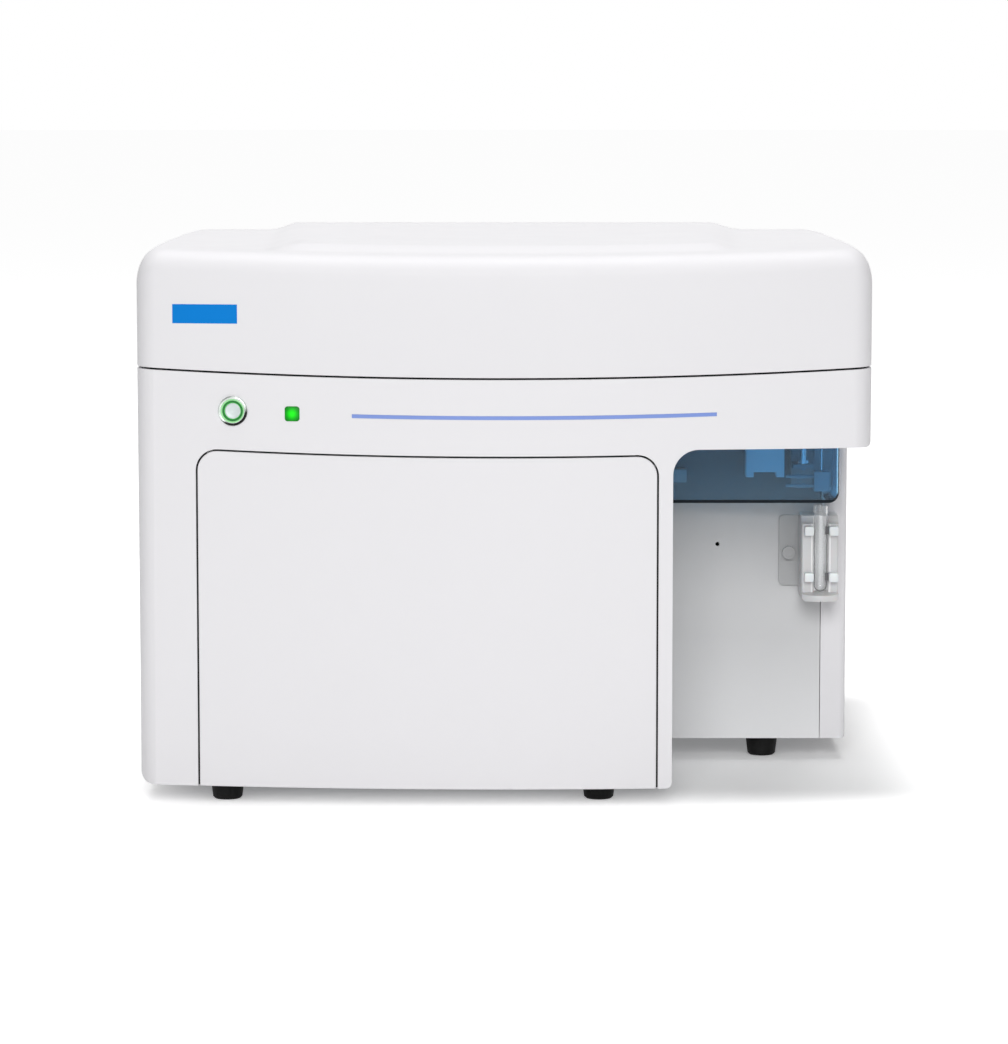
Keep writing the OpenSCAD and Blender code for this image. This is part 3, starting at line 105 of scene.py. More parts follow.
def surface(name, color, rough=0.45, metallic=0.0, vary=0.012, patch=6.0, grain=1400.0, depth=0.00002,
            wobble=0.05, stretch=(1, 1, 1), **sockets):
    """A finish whose colour, gloss and fine grain all vary a little over the surface.

    vary is the share by which the colour changes, patch and grain are noise scales, depth is the height of
    the grain in metres, wobble is added to and taken from the roughness, and sockets go to the shader.
    """
    m, nt, bsdf = new_material(name)
    v = coords(nt, stretch)
    broad = noise(nt, v, patch, 2.0)
    lo = tuple(max(0.0, c * (1 - vary)) for c in color)
    hi = tuple(min(1.0, c * (1 + vary)) for c in color)
    nt.links.new(ramp(nt, broad, [(NOISE_LOW, lo), (NOISE_HIGH, hi)]), bsdf.inputs["Base Color"])
    fine = noise(nt, v, grain, 3.0)
    nt.links.new(span(nt, noise(nt, v, patch * 9, 3.0), rough - wobble, rough + wobble),
                 bsdf.inputs["Roughness"])
    nt.links.new(bump(nt, fine, depth), bsdf.inputs["Normal"])
    bsdf.inputs["Metallic"].default_value = metallic
    for key, value in sockets.items():
        bsdf.inputs[key.replace("_", " ").title().replace("Ior", "IOR")].default_value = value
    return m


# Heights between which the recess wall greys upwards as painted shade under the overhang, the tones on the
# way up, where the dark painted shade behind the shield begins, and the depth that only the wall's face has.
SHADE_GRADE_LOW, SHADE_GRADE_HIGH = 0.02, 0.23
PAINTED_SHADE_TONES = [(0.0, (1, 1, 1)), (0.42, (0.77, 0.77, 0.77)), (1.0, (0.67, 0.67, 0.67))]
SHIELD_LOW, WALL_FACE = 0.2265, -0.0672


def shadowed_wall(name, light, dark):
    """Light paint with painted shade: it greys upwards and turns dark behind the shield, on the wall's face
    only.
    """
    m = surface(name, light, 0.55, vary=0.01, grain=2200, depth=0.00002)
    nt = m.node_tree
    bsdf = nt.nodes["Principled BSDF"]
    c = nt.nodes.new("ShaderNodeTexCoord")
    axes = nt.nodes.new("ShaderNodeSeparateXYZ")
    nt.links.new(c.outputs["Object"], axes.inputs["Vector"])
    factors = []
    for axis, edge in (("Z", SHIELD_LOW), ("Y", WALL_FACE)):
        over = nt.nodes.new("ShaderNodeMath")
        over.operation = "GREATER_THAN"
        over.inputs[1].default_value = edge
        nt.links.new(axes.outputs[axis], over.inputs[0])
        factors.append(over.outputs[0])
    both = nt.nodes.new("ShaderNodeMath")
    both.operation = "MULTIPLY"
    nt.links.new(factors[0], both.inputs[0])
    nt.links.new(factors[1], both.inputs[1])
    mix = nt.nodes.new("ShaderNodeMix")
    mix.data_type = "RGBA"
    was = bsdf.inputs["Base Color"].links[0].from_socket
    nt.links.new(both.outputs[0], mix.inputs["Factor"])
    mix.inputs[7].default_value = (*dark, 1)
    height = nt.nodes.new("ShaderNodeMapRange")
    height.inputs["From Min"].default_value = SHADE_GRADE_LOW
    height.inputs["From Max"].default_value = SHADE_GRADE_HIGH
    nt.links.new(axes.outputs["Z"], height.inputs["Value"])
    grey = ramp(nt, height.outputs["Result"], PAINTED_SHADE_TONES)
    tone = nt.nodes.new("ShaderNodeVectorMath")
    tone.operation = "MULTIPLY"
    nt.links.new(was, tone.inputs[0])
    nt.links.new(grey, tone.inputs[1])
    nt.links.new(tone.outputs["Vector"], mix.inputs[6])
    nt.links.new(mix.outputs[2], bsdf.inputs["Base Color"])
    return m


def hazed(m, amount, color):
    """Lays a thin diffuse haze over a clear material."""
    nt = m.node_tree
    haze = nt.nodes.new("ShaderNodeBsdfDiffuse")
    haze.inputs["Color"].default_value = (*color, 1)
    mix = nt.nodes.new("ShaderNodeMixShader")
    mix.inputs[0].default_value = amount
    nt.links.new(nt.nodes["Principled BSDF"].outputs[0], mix.inputs[1])
    nt.links.new(haze.outputs[0], mix.inputs[2])
    nt.links.new(mix.outputs[0], nt.nodes["Material Output"].inputs["Surface"])
    return m


def brushed(name, color, rough, axis):
    """Bare metal with fine lines across the axis that is stretched."""
    return surface(name, color, rough, 1.0, vary=0.06, patch=30, grain=900, depth=0.00001, wobble=0.08,
                   stretch=axis)


M = {
    "white": surface("white_moulding", (0.80, 0.792, 0.812), 0.46, vary=0.006, patch=3, grain=1600,
                     depth=0.000012, specular_ior_level=0.22),
    "recess": surface("recess_paint", (0.74, 0.745, 0.755), 0.55, vary=0.01, grain=2200, depth=0.00002),
    # The recess wall's greying upwards and its dark band behind the shield are painted shade.
    "wall": shadowed_wall("recess_wall_painted_shade", (0.785, 0.79, 0.80), (0.20, 0.205, 0.215)),
    "rear": surface("rear_powder", (0.66, 0.665, 0.675), 0.55, vary=0.02, grain=2500, depth=0.00005),
    "zinc": surface("zinc_sheet", (0.52, 0.53, 0.55), 0.38, 0.9, vary=0.12, patch=60, grain=300,
                    depth=0.00001, wobble=0.1),
    "alu": brushed("anodised_alu", (0.72, 0.73, 0.745), 0.36, (40, 1, 1)),
    "steel": brushed("brushed_steel", (0.60, 0.61, 0.63), 0.3, (1, 1, 40)),
    "bright": surface("bright_steel", (0.62, 0.63, 0.65), 0.16, 1.0, vary=0.03, patch=90, depth=0.000004,
                      wobble=0.04),
    "cap": surface("button_face", (0.53, 0.585, 0.58), 0.42, 0.35, vary=0.02, patch=200, depth=0.000006),
    "black": surface("black_plastic", (0.025, 0.025, 0.028), 0.48, vary=0.15, grain=1500, depth=0.00004),
    "anod": surface("black_anodised", (0.035, 0.036, 0.04), 0.42, 0.5, vary=0.2, patch=40, grain=2500,
                    depth=0.00002),
    "rubber": surface("black_rubber", (0.006, 0.006, 0.006), 0.62, vary=0.25, patch=50, grain=900,
                      depth=0.00006, specular_ior_level=0.18),
    # A near-black grey for the painted shadow pads beside the tube.
    "shadow_pad": surface("painted_shadow_pad", (0.09, 0.09, 0.095), 0.45, vary=0.1, depth=0.00002),
    "dim": surface("grey_moulding", (0.40, 0.43, 0.46), 0.5, vary=0.03, depth=0.00002),
    # A lighter tone for the groove behind the tube, painted light where the arms shade it.
    "groove": surface("holder_groove_painted_light", (0.88, 0.88, 0.885), 0.38, vary=0.02, depth=0.00002),
    # The holder's plate and screw wear this darker grey as painted shade.
    "plate": surface("holder_plate_painted_shade", (0.40, 0.405, 0.41), 0.5, vary=0.02, depth=0.00002),
    "tube": hazed(surface("tube_plastic", (0.97, 0.975, 0.98), 0.05, vary=0.005, depth=0.000004, wobble=0.02,
                          transmission_weight=1.0, ior=1.14, coat_weight=0.7, coat_roughness=0.08),
                  0.06, (0.84, 0.845, 0.85)),
    "painted": surface("plate_paint", (0.36, 0.37, 0.39), 0.5, vary=0.02, depth=0.00003),
    "tubing": surface("silicone_tubing", (0.70, 0.71, 0.69), 0.3, vary=0.02, patch=80, depth=0.00001,
                      subsurface_weight=0.3),
    "pale": surface("pale_moulding", (0.78, 0.785, 0.80), 0.4, vary=0.015, depth=0.00002),
    "holder": surface("holder_moulding", (0.62, 0.62, 0.63), 0.38, vary=0.02, depth=0.00002,
                      subsurface_weight=0.1),
    "nylon": surface("white_nylon", (0.84, 0.84, 0.845), 0.38, vary=0.01, grain=800, depth=0.00002,
                     subsurface_weight=0.15),
    "sensor": surface("sensor_moulding", (0.84, 0.90, 0.94), 0.35, vary=0.02, depth=0.00002),
    "rim": surface("rim_black", (0.002, 0.008, 0.014), 0.35, vary=0.1, grain=1500, depth=0.00001,
                   specular_ior_level=0.12),
    "board": surface("circuit_board", (0.03, 0.17, 0.08), 0.4, vary=0.3, patch=120, grain=500,
                     depth=0.00008),
    "green": surface("green_light", (0.02, 0.30, 0.02), 0.35, vary=0.03,
                     emission_color=(0.02, 0.80, 0.03, 1), emission_strength=0.35),
    "strip": surface("blue_light", (0.16, 0.245, 0.57), 0.4, vary=0.03,
                     emission_color=(0.16, 0.25, 0.62, 1), emission_strength=0.15),
    "blue": hazed(surface("blue_acrylic", (0.27, 0.56, 0.80), 0.05, vary=0.02, depth=0.000004, wobble=0.02,
                          transmission_weight=1.0, ior=1.15), 0.07, (0.62, 0.64, 0.67)),
    "clear": surface("clear_plastic", (0.965, 0.97, 0.975), 0.06, vary=0.005, depth=0.000004, wobble=0.02,
                     transmission_weight=1.0, ior=1.09),
}

# The nodes that wear each material.
FINISH = {
    "white": "top_cover front_frame front_door left_side_panel right_side_panel",
    "recess": "recess_side_wall overhang_floor",
    "wall": "recess_wall",
    "rear": "rear_panel",
    "zinc": "lid_frame base_pan chassis_walls power_supply",
    "alu": "deck_plate optical_bench",
    "painted": "fluidics_plate",
    "dim": "wash_station probe_frame",
    "cap": "button_cap",
    "bright": "button_bezel lid_hinge_pins door_hinge_pins probe_lead_screw sample_probe syringe_plunger",
    "steel": "lid_hinge_leaves body_hinge_leaves door_hinge_arms door_hinge_brackets beam_optics",
    "black": "cooling_fan fan_rotor rear_connectors mains_rocker pump_rotor_left pump_rotor_right "
             "probe_carriage",
    "anod": "probe_motor laser_heads flow_cell detector_arrays door_catches",
    "rubber": "seam_gasket feet bench_dampers",
    "green": "status_lights",
    "strip": "light_strip",
    "blue": "probe_shield",
    "rim": "shield_rim",
    "sensor": "level_sensor",
    "clear": "syringe_barrel sheath_filter",
    "tube": "sample_tube",
    "pale": "syringe_pump valve_manifold pump_heads",
    "holder": "tube_holder",
    "plate": "holder_screw",
    "nylon": "holder_clips",
    "board": "main_board",
}
for key, names in FINISH.items():
    for n in names.split():
        slots = NODES[n].data.materials
        slots.clear()
        slots.append(M[key])

# ---------------------------------------------------------------- mesh helpers


def make_object(name, verts, faces, material, body, smooth=True, sharp=35):
    """A mesh from points in millimetres, smooth but for edges sharper than sharp degrees, riding on body."""
    me = bpy.data.meshes.new(name)
    me.from_pydata([tuple(c * MM for c in v) for v in verts], [], faces)
    me.validate()
    ob = bpy.data.objects.new(name, me)
    bpy.context.scene.collection.objects.link(ob)
    me.materials.append(material)
    if smooth:
        me.shade_smooth()
        me.set_sharp_from_angle(angle=math.radians(sharp))
    if body:
        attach(ob, body)
    return ob


# ---------------------------------------------------------------- top cover

# All in millimetres, and the same as in the CAD. Plan: half width, front apex, depth of the bulge, corners.
HALF_W, FRONT_APEX, BULGE, CORNER_R, REAR_R, REAR_Y = 299.2, -325.0, 27.5, 20.0, 12.0, 315.0
# The lower edge: its height at the middle, the radius of its arc, the gap under it, and the wall.
SEAM_H, SMILE_R, SEAM_GAP, SKIN = 352.6, 6000.0, 1.6, 4.0
# Heights of the shoulder, of the crown above it and of the centre panel above that.
SHOULDER_H, CROWN_H, HUMP_H = 451.3, 6.0, 6.5
# How far the rounded edge drops and reaches in, at the front, the sides and the back.
FRONT_DROP, SIDE_DROP, SIDE_REACH, FRONT_REACH, REAR_REACH = 17.0, 30.0, 18.0, 19.0, 24.0
# The centre panel's half widths, the widths of its slopes, and the depth at which the top's rings meet.
HUMP_FRONT, HUMP_REAR, HUMP_SLOPE, HUMP_END, MID_DEPTH = 165.0, 196.0, 28.0, 26.0, 300.0
# Points of half a ring in plan: on the front, each corner, the side and the back.
RING_FRONT, RING_CORNER, RING_SIDE, RING_BACK = 60, 12, 56, 40
FRONT_R = (HALF_W ** 2 + BULGE ** 2) / (2 * BULGE)
FRONT_CY = FRONT_APEX + FRONT_R


def front_y(x, d=0.0):
    """Depth of the bulged front at x, d behind its outer face."""
    return FRONT_CY - math.sqrt((FRONT_R - d) ** 2 - x * x)


def smile(x):
    """Rise of the cover's lower edge at x."""
    return SMILE_R - math.sqrt(SMILE_R ** 2 - x * x)


def ease(t):
    t = min(1.0, max(0.0, t))
    return t * t * (3 - 2 * t)


def top_z(x, y):
    """Height of the cover's crowned top with its centre panel."""
    half = HUMP_FRONT + (HUMP_REAR - HUMP_FRONT) * (y + HALF_W) / (2 * HALF_W)
    hump = (HUMP_H * ease((half + HUMP_SLOPE - abs(x)) / HUMP_SLOPE)
            * ease((y - front_y(min(abs(x), HALF_W)) - FRONT_REACH) / HUMP_END)
            * ease((REAR_Y - REAR_REACH - y) / HUMP_END))
    crown = max(CROWN_H * (1 - (y / REAR_Y) ** 2), 0)
    return SHOULDER_H + crown + smile(x) * (1 - ease((y + HALF_W) / HALF_W)) * 0.6 + hump


def plan_ring(dx, df, dr, rc, rr):
    """A closed ring in plan as (x, y, share of side rounding), from the middle of the front, rightwards.

    It lies dx, df and dr inside the sides, the front and the back, with corners of radius rc and rr.
    """
    nf, nc, ns, nb = RING_FRONT, RING_CORNER, RING_SIDE, RING_BACK
    w, fr, back = HALF_W - dx, FRONT_R - df, REAR_Y - dr
    cx = w - rc
    cy = FRONT_CY - math.sqrt((fr - rc) ** 2 - cx * cx)
    start = math.asin(cx / (fr - rc))
    xt = fr * math.sin(start)
    half = [(xt * i / nf, FRONT_CY - math.sqrt(fr * fr - (xt * i / nf) ** 2), 0.0) for i in range(nf + 1)]
    for i in range(1, nc + 1):
        a = start + (math.pi / 2 - start) * i / nc
        half.append((cx + rc * math.sin(a), cy - rc * math.cos(a), math.sin(a) ** 2))
    half += [(w, cy + (back - rr - cy) * i / ns, 1.0) for i in range(1, ns + 1)]
    for i in range(1, nc + 1):
        a = math.pi / 2 * i / nc
        half.append((w - rr + rr * math.cos(a), back - rr + rr * math.sin(a), math.cos(a) ** 2))
    half += [((w - rr) * (1 - i / nb), back, 0.0) for i in range(1, nb + 1)]
    return half + [(-x, y, k) for x, y, k in half[-2:0:-1]]


def cover_base(d, lift):
    """The ring along the lower edge, d inside the outer face."""
    base = lambda x, y: (SEAM_H + smile(x) if y < 0 else SEAM_H + smile(HALF_W)) + SEAM_GAP / 2 + lift
    return [(x, y, base(x, y)) for x, y, k in plan_ring(d, d, d, CORNER_R - d, REAR_R - d)]


def cover_edge(a, d):
    """The ring at angle a of the rounded edge."""
    s, c = 1 - math.cos(a), 1 - math.sin(a)
    keep = 1 - 0.55 * s
    ring = plan_ring(d + (SIDE_REACH - d) * s, d + (FRONT_REACH - d) * s, d + (REAR_REACH - d) * s,
                     (CORNER_R - d) * keep, (REAR_R - d) * keep)
    return [(x, y, top_z(x, y) - d - (FRONT_DROP + (SIDE_DROP - FRONT_DROP) * k - d) * c) for x, y, k in ring]


def cover_top(t, u, d):
    """A ring on the top, at share t of the way in from the sides and u from front and back."""
    keep = 0.45 * (1 - 0.6 * t)
    ring = plan_ring(SIDE_REACH + (HALF_W - SIDE_REACH) * t, FRONT_REACH + MID_DEPTH * u,
                     REAR_REACH + (MID_DEPTH - 20) * u, (CORNER_R - d) * keep, (REAR_R - d) * keep)
    return [(x, y, top_z(x, y) - d) for x, y, k in ring]


def cover_rings(d, steps, tops, lip):
    """All rings of one skin, from the lower edge, rounded by lip, to the middle of the top."""
    rings = [cover_base(d + lip * (1 - math.sin(a)), lip * (1 - math.cos(a)))
             for a in (0, math.pi / 6, math.pi / 3, math.pi / 2)] if lip else [cover_base(d, 0)]
    rings += [cover_edge(math.radians(90.0 * i / steps), d) for i in range(steps + 1)]
    rings += [cover_top(t, u, d) for t, u in tops]
    return rings


def build_cover():
    """The cover's closed shell. Its rings stand close over the panel's slopes and wide in the middle."""
    near_t, near_u, last_t, last_u = 0.34, 0.1445, 0.96, 0.92
    fine = [(i * 0.02, i * 0.0085) for i in range(1, 18)]
    fine += [(near_t + (last_t - near_t) * i / 12, near_u + (last_u - near_u) * i / 12) for i in range(1, 13)]
    outer = cover_rings(0.0, 14, fine, 0.8)
    inner = cover_rings(SKIN, 6, fine[3::4], 0)
    n = len(outer[0])
    verts = [p for ring in outer + inner for p in ring]
    faces = []
    for k in range(len(outer) - 1):
        a, b = k * n, (k + 1) * n
        faces += [(a + i, a + (i + 1) % n, b + (i + 1) % n, b + i) for i in range(n)]
    base = len(outer) * n
    for k in range(len(inner) - 1):
        a, b = base + k * n, base + (k + 1) * n
        faces += [(a + i, b + i, b + (i + 1) % n, a + (i + 1) % n) for i in range(n)]
    for start, drop, flip in (((len(outer) - 1) * n, 0.0, False), (base + (len(inner) - 1) * n, SKIN, True)):
        verts.append((0.0, 0.0, top_z(0, 0) - drop))
        mid = len(verts) - 1
        for i in range(n):
            f = (start + i, start + (i + 1) % n, mid)
            faces.append(f[::-1] if flip else f)
    faces += [(i, base + i, base + (i + 1) % n, (i + 1) % n) for i in range(n)]
    cover = make_object("cover_shell", verts, faces, M["white"], "top_cover", sharp=50)
    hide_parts("top_cover")


build_cover()


# ---------------------------------------------------------------- rounded copies of the CAD's mouldings


# Vertices closer than MERGE metres are joined, flat faces within FLAT degrees become one, and edges over
# EDGE degrees are rounded. Shading breaks at edges over SHARP degrees.
MERGE, FLAT, EDGE, SHARP = 2e-6, 0.25, 32, 38
# A face is wide from this area in square metres, and square to an axis from this share of its normal.
WIDE_AREA, SQUARE = 5e-5, 0.99995
# How closely a vertex lies on the bulged front, in metres.
ON_FRONT = 0.0002


def true_normals(me):
    """Keeps wide flat faces flat and the bulged front round, so that shading runs only over the edges."""
    flat = {}
    for p in me.polygons:
        if p.area > WIDE_AREA and max(abs(c) for c in p.normal) > SQUARE:
            for v in p.vertices:
                flat.setdefault(v, []).append((p.area, p.normal.copy()))
    normals = [Vector((0, 0, 0))] * len(me.loops)
    for p in me.polygons:
        for i in p.loop_indices:
            v = me.loops[i].vertex_index
            co = me.vertices[v].co
            out = Vector((co.x, co.y - FRONT_CY * MM, 0))
            near = [(a, n) for a, n in flat.get(v, []) if n.dot(p.normal) > 0.6]
            if p.normal.y < -0.3 and abs(out.length - FRONT_R * MM) < ON_FRONT:
                normals[i] = out.normalized()
            elif near:
                normals[i] = max(near, key=lambda o: o[0])[1]
    me.normals_split_custom_set(normals)


def rounded_copy(node, width, body):
    """The node's own shape with its sharp edges rounded by width, in millimetres."""
    me = NODES[node].data.copy()
    me.name = node + "_rounded"
    bm = bmesh.new()
    bm.from_mesh(me)
    bmesh.ops.remove_doubles(bm, verts=bm.verts, dist=MERGE)
    bmesh.ops.dissolve_degenerate(bm, dist=MERGE, edges=bm.edges)
    bmesh.ops.dissolve_limit(bm, angle_limit=math.radians(FLAT), verts=bm.verts, edges=bm.edges,
                             use_dissolve_boundaries=False)
    limit = math.radians(EDGE)
    sharp = [e for e in bm.edges if len(e.link_faces) == 2 and e.calc_face_angle(0) > limit]
    bmesh.ops.bevel(bm, geom=sharp, offset=width * MM, offset_type="OFFSET", segments=2,
                    profile=0.5, affect="EDGES", clamp_overlap=True, miter_outer="ARC")
    bmesh.ops.recalc_face_normals(bm, faces=bm.faces)
    bm.to_mesh(me)
    bm.free()
    ob = bpy.data.objects.new(node + "_rounded", me)
    bpy.context.scene.collection.objects.link(ob)
    me.shade_smooth()
    me.set_sharp_from_angle(angle=math.radians(SHARP))
    true_normals(me)
    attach(ob, body)
    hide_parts(node)
    return ob


rounded_copy("front_frame", 0.8, "case")
rounded_copy("front_door", 0.7, "front_door")
rounded_copy("left_side_panel", 0.8, "case")
rounded_copy("right_side_panel", 0.8, "case")


# The tube holder, in millimetres: where its block begins, half the width of the groove behind the tube, and
# the top of its tray.
TUBE_X, BLOCK_LEFT, GROOVE_HALF, TRAY_TOP = 273.7, 256.6, 8.8, 158.0
# Dark pads that stand for the shade between tube and clip, as painted shadow: their box in x and y, their
# height.
SHADOW_PAD_BOX, SHADOW_PAD_H = ((277.4, 280.5), (-105.4, -104.6)), 6.8
SHADOW_PADS = [("holder_shadow_pad_low", 162.3), ("holder_shadow_pad_high", 202.6)]


def place_shadow_pads():
    """Small dark pads from the right-hand clips over the tube's edge, a painted shadow of the gap between
    them.
    """
    for name, z0 in SHADOW_PADS:
        verts = [(x, y, z) for x in SHADOW_PAD_BOX[0] for y in SHADOW_PAD_BOX[1] for z in (z0, z0 + SHADOW_PAD_H)]
        faces = [(0, 1, 3, 2), (4, 6, 7, 5), (0, 4, 5, 1), (2, 3, 7, 6), (0, 2, 6, 4), (1, 5, 7, 3)]
        make_object(name, verts, faces, M["shadow_pad"], "case", smooth=False)


place_shadow_pads()
holder = rounded_copy("tube_holder", 0.5, "case").data
holder.materials.append(M["plate"])
holder.materials.append(M["groove"])
# Faces left of the block take the plate's darker grey, which is painted shade.
for face in holder.polygons:
    if face.center.x < BLOCK_LEFT * MM:
        face.material_index = 1
    # Faces of the groove behind the tube take the lighter tone, which is painted light.
    elif abs(face.center.x - TUBE_X * MM) < GROOVE_HALF * MM and face.center.z > TRAY_TOP * MM:
        face.material_index = 2
rounded_copy("holder_clips", 0.6, "case")
rounded_copy("level_sensor", 0.4, "case")
rounded_copy("mains_rocker", 0.5, "mains_rocker")

# ---------------------------------------------------------------- trim on the front


def front_patch(name, x0, x1, z0, z1, depth0, depth1, material, body, radius=0.5, columns=24):
    """A thin plate that follows the bulged front, between two depths behind its outer face."""
    xs = [x0 + (x1 - x0) * i / columns for i in range(columns + 1)]
    verts, faces = [], []
    section = [(depth1, z0), (depth0 + radius, z0), (depth0, z0 + radius), (depth0, z1 - radius),
               (depth0 + radius, z1), (depth1, z1)]
    for x in xs:
        verts += [(x, front_y(x, d), z) for d, z in section]
    m = len(section)
    for i in range(columns):
        for j in range(m):
            a, b = i * m + j, i * m + (j + 1) % m
            faces.append((a, a + m, b + m, b))
    faces.append(tuple(range(m)))
    faces.append(tuple(columns * m + j for j in reversed(range(m))))
    return make_object(name, verts, faces, material, body)


M["label"] = surface("label_blue", (0.0, 0.205, 0.64), 0.45, vary=0.02, grain=2500, depth=0.000006,
                     specular_ior_level=0.1)
LABEL_X, LABEL_Z, LABEL_DEPTH = (-268.6, -215.7), (396.5, 412.0), (-0.25, 0.2)
plate = front_patch("label_plate", *LABEL_X, *LABEL_Z, *LABEL_DEPTH, M["label"], "top_cover", 0.1)
M["seal"] = surface("door_seal_foam", (0.012, 0.012, 0.013), 0.85, vary=0.3, grain=700, depth=0.0001)
# Foam strips behind the gaps at the door's sides, as (name, x, z), and their depth behind the front.
SEALS = [("door_seal_left", (-252.4, -248.6), (18.6, 282.0)),
         ("door_seal_right", (122.4, 126.2), (18.6, 276.0))]
SEAL_DEPTH = (3.2, 3.9)
for name, xs, zs in SEALS:
    ob = front_patch(name, *xs, *zs, *SEAL_DEPTH, M["seal"], "case", 0.1, 2)


def lamp_color(name, stops, radius):
    """A lit face whose colour runs out from the middle of its own mesh, in metres."""
    m, nt, bsdf = new_material(name)
    c = nt.nodes.new("ShaderNodeTexCoord")
    length = nt.nodes.new("ShaderNodeVectorMath")
    length.operation = "LENGTH"
    nt.links.new(c.outputs["Object"], length.inputs[0])
    share = nt.nodes.new("ShaderNodeMath")
    share.operation = "DIVIDE"
    share.inputs[1].default_value = radius
    nt.links.new(length.outputs["Value"], share.inputs[0])
    mottle = nt.nodes.new("ShaderNodeMath")
    mottle.operation = "MULTIPLY_ADD"
    mottle.inputs[1].default_value = 0.06
    nt.links.new(noise(nt, c.outputs["Object"], 900), mottle.inputs[0])
    nt.links.new(share.outputs[0], mottle.inputs[2])
    colors = ramp(nt, mottle.outputs[0], stops)
    nt.links.new(colors, bsdf.inputs["Base Color"])
    nt.links.new(colors, bsdf.inputs["Emission Color"])
    bsdf.inputs["Emission Strength"].default_value = 0.42
    bsdf.inputs["Roughness"].default_value = 0.4
    bsdf.inputs["Specular IOR Level"].default_value = 0.15
    return m


def front_frame_at(x, z, out):
    """World matrix of a point on the bulged front, with local -Y pointing out of it."""
    a = math.asin(x / FRONT_R)
    y = front_y(x)
    normal = Vector((math.sin(a), -math.cos(a), 0))
    place = Vector((x, y, z)) * MM + normal * out * MM
    return Matrix.Translation(place) @ Matrix.Rotation(a, 4, "Z")


def lathe_y(name, profile, material, body, matrix):
    """A solid of revolution about local Y, from (radius, depth) pairs in millimetres."""
    parts = 72
    verts, faces = [], []
    for i in range(parts):
        a = 2 * math.pi * i / parts
        verts += [(r * math.cos(a), d, r * math.sin(a)) for r, d in profile]
    k = len(profile)
    for i in range(parts):
        for j in range(k):
            a, b = i * k + j, i * k + (j + 1) % k
            c, d = ((i + 1) % parts) * k + (j + 1) % k, ((i + 1) % parts) * k + j
            faces.append((a, b, c, d))
    ob = make_object(name, verts, faces, material, None, sharp=40)
    bm = bmesh.new()
    bm.from_mesh(ob.data)
    bmesh.ops.remove_doubles(bm, verts=bm.verts, dist=1e-7)
    bmesh.ops.recalc_face_normals(bm, faces=bm.faces)
    bm.to_mesh(ob.data)
    bm.free()
    ob.matrix_world = matrix
    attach(ob, body)
    return ob


# The power button: its place, the lit ring's inner and outer radius, and the middle, half width, foot and
# rise of the domed bezel round it.
BUTTON_X, BUTTON_Z = -219.6, 326.0
RING_IN, RING_OUT, RING_EDGE = 6.9, 8.5, 9.7
DOME_R, DOME_HALF, DOME_FOOT, DOME_RISE = 10.85, 1.2, 1.3, 1.0
STATUS_X, STATUS_Z, STATUS_GLOW = -171.4, 324.0, 0.0072
M["ring_dark"] = surface("ring_dark", (0.02, 0.15, 0.035), 0.4, vary=0.05, specular_ior_level=0.2,
                         emission_color=(0.02, 0.28, 0.04, 1), emission_strength=0.12)
M["ring_light"] = surface("ring_light", (0.28, 0.64, 0.28), 0.4, vary=0.02,
                          emission_color=(0.30, 0.80, 0.30, 1), emission_strength=0.15)
M["led"] = lamp_color("led_glow", [(0.0, (0.015, 0.82, 0.015)), (0.35, (0.008, 0.60, 0.008)),
                                   (0.70, (0.004, 0.26, 0.008)), (0.95, (0.003, 0.14, 0.008))],
                      STATUS_GLOW)


def button_rings():
    at = front_frame_at(BUTTON_X, BUTTON_Z, 0)
    for name, material, profile in (
            ("ring_dark", "ring_dark",
             [(RING_IN, -1.36), (RING_OUT, -1.36), (RING_OUT, -1.0), (RING_IN, -1.0)]),
            ("ring_light", "ring_light",
             [(RING_OUT, -1.40), (RING_EDGE, -2.08), (RING_EDGE, -1.0), (RING_OUT, -1.0)])):
        lathe_y(name, profile, M[material], "case", at)


button_rings()


def bezel_painted_reflection():
    """Polished metal whose painted reflection runs from grey at the upper left to near black at the lower
    right.
    """
    reach = 0.0118
    m, nt, bsdf = new_material("bezel_painted_reflection")
    c = nt.nodes.new("ShaderNodeTexCoord")
    turn = nt.nodes.new("ShaderNodeVectorMath")
    turn.operation = "DOT_PRODUCT"
    turn.inputs[1].default_value = (0.45, 0.0, -0.9)
    nt.links.new(c.outputs["Object"], turn.inputs[0])
    share = nt.nodes.new("ShaderNodeMapRange")
    share.inputs["From Min"].default_value = -reach
    share.inputs["From Max"].default_value = reach
    nt.links.new(turn.outputs["Value"], share.inputs["Value"])
    tones = ramp(nt, share.outputs["Result"], [(0.0, (0.30, 0.33, 0.31)), (0.12, (0.62, 0.66, 0.63)),
                                               (0.28, (0.50, 0.56, 0.52)), (0.55, (0.60, 0.66, 0.62)),
                                               (0.76, (0.012, 0.014, 0.012)), (1.0, (0.004, 0.004, 0.004))])
    nt.links.new(tones, bsdf.inputs["Base Color"])
    nt.links.new(span(nt, noise(nt, c.outputs["Object"], 400), 0.18, 0.28), bsdf.inputs["Roughness"])
    bsdf.inputs["Metallic"].default_value = 0.75
    return m


def button_trim():
    """A domed ring over the bezel, rounder than the flat-sided one that it covers."""
    profile = [(DOME_R + DOME_HALF * math.cos(math.radians(a)),
                -DOME_FOOT - DOME_RISE * math.sin(math.radians(a))) for a in range(180, -1, -15)]
    profile += [(DOME_R + DOME_HALF, -0.2), (DOME_R - DOME_HALF, -0.2)]
    ob = lathe_y("bezel_dome", profile, bezel_painted_reflection(), "case", front_frame_at(BUTTON_X, BUTTON_Z, 0))


button_trim()


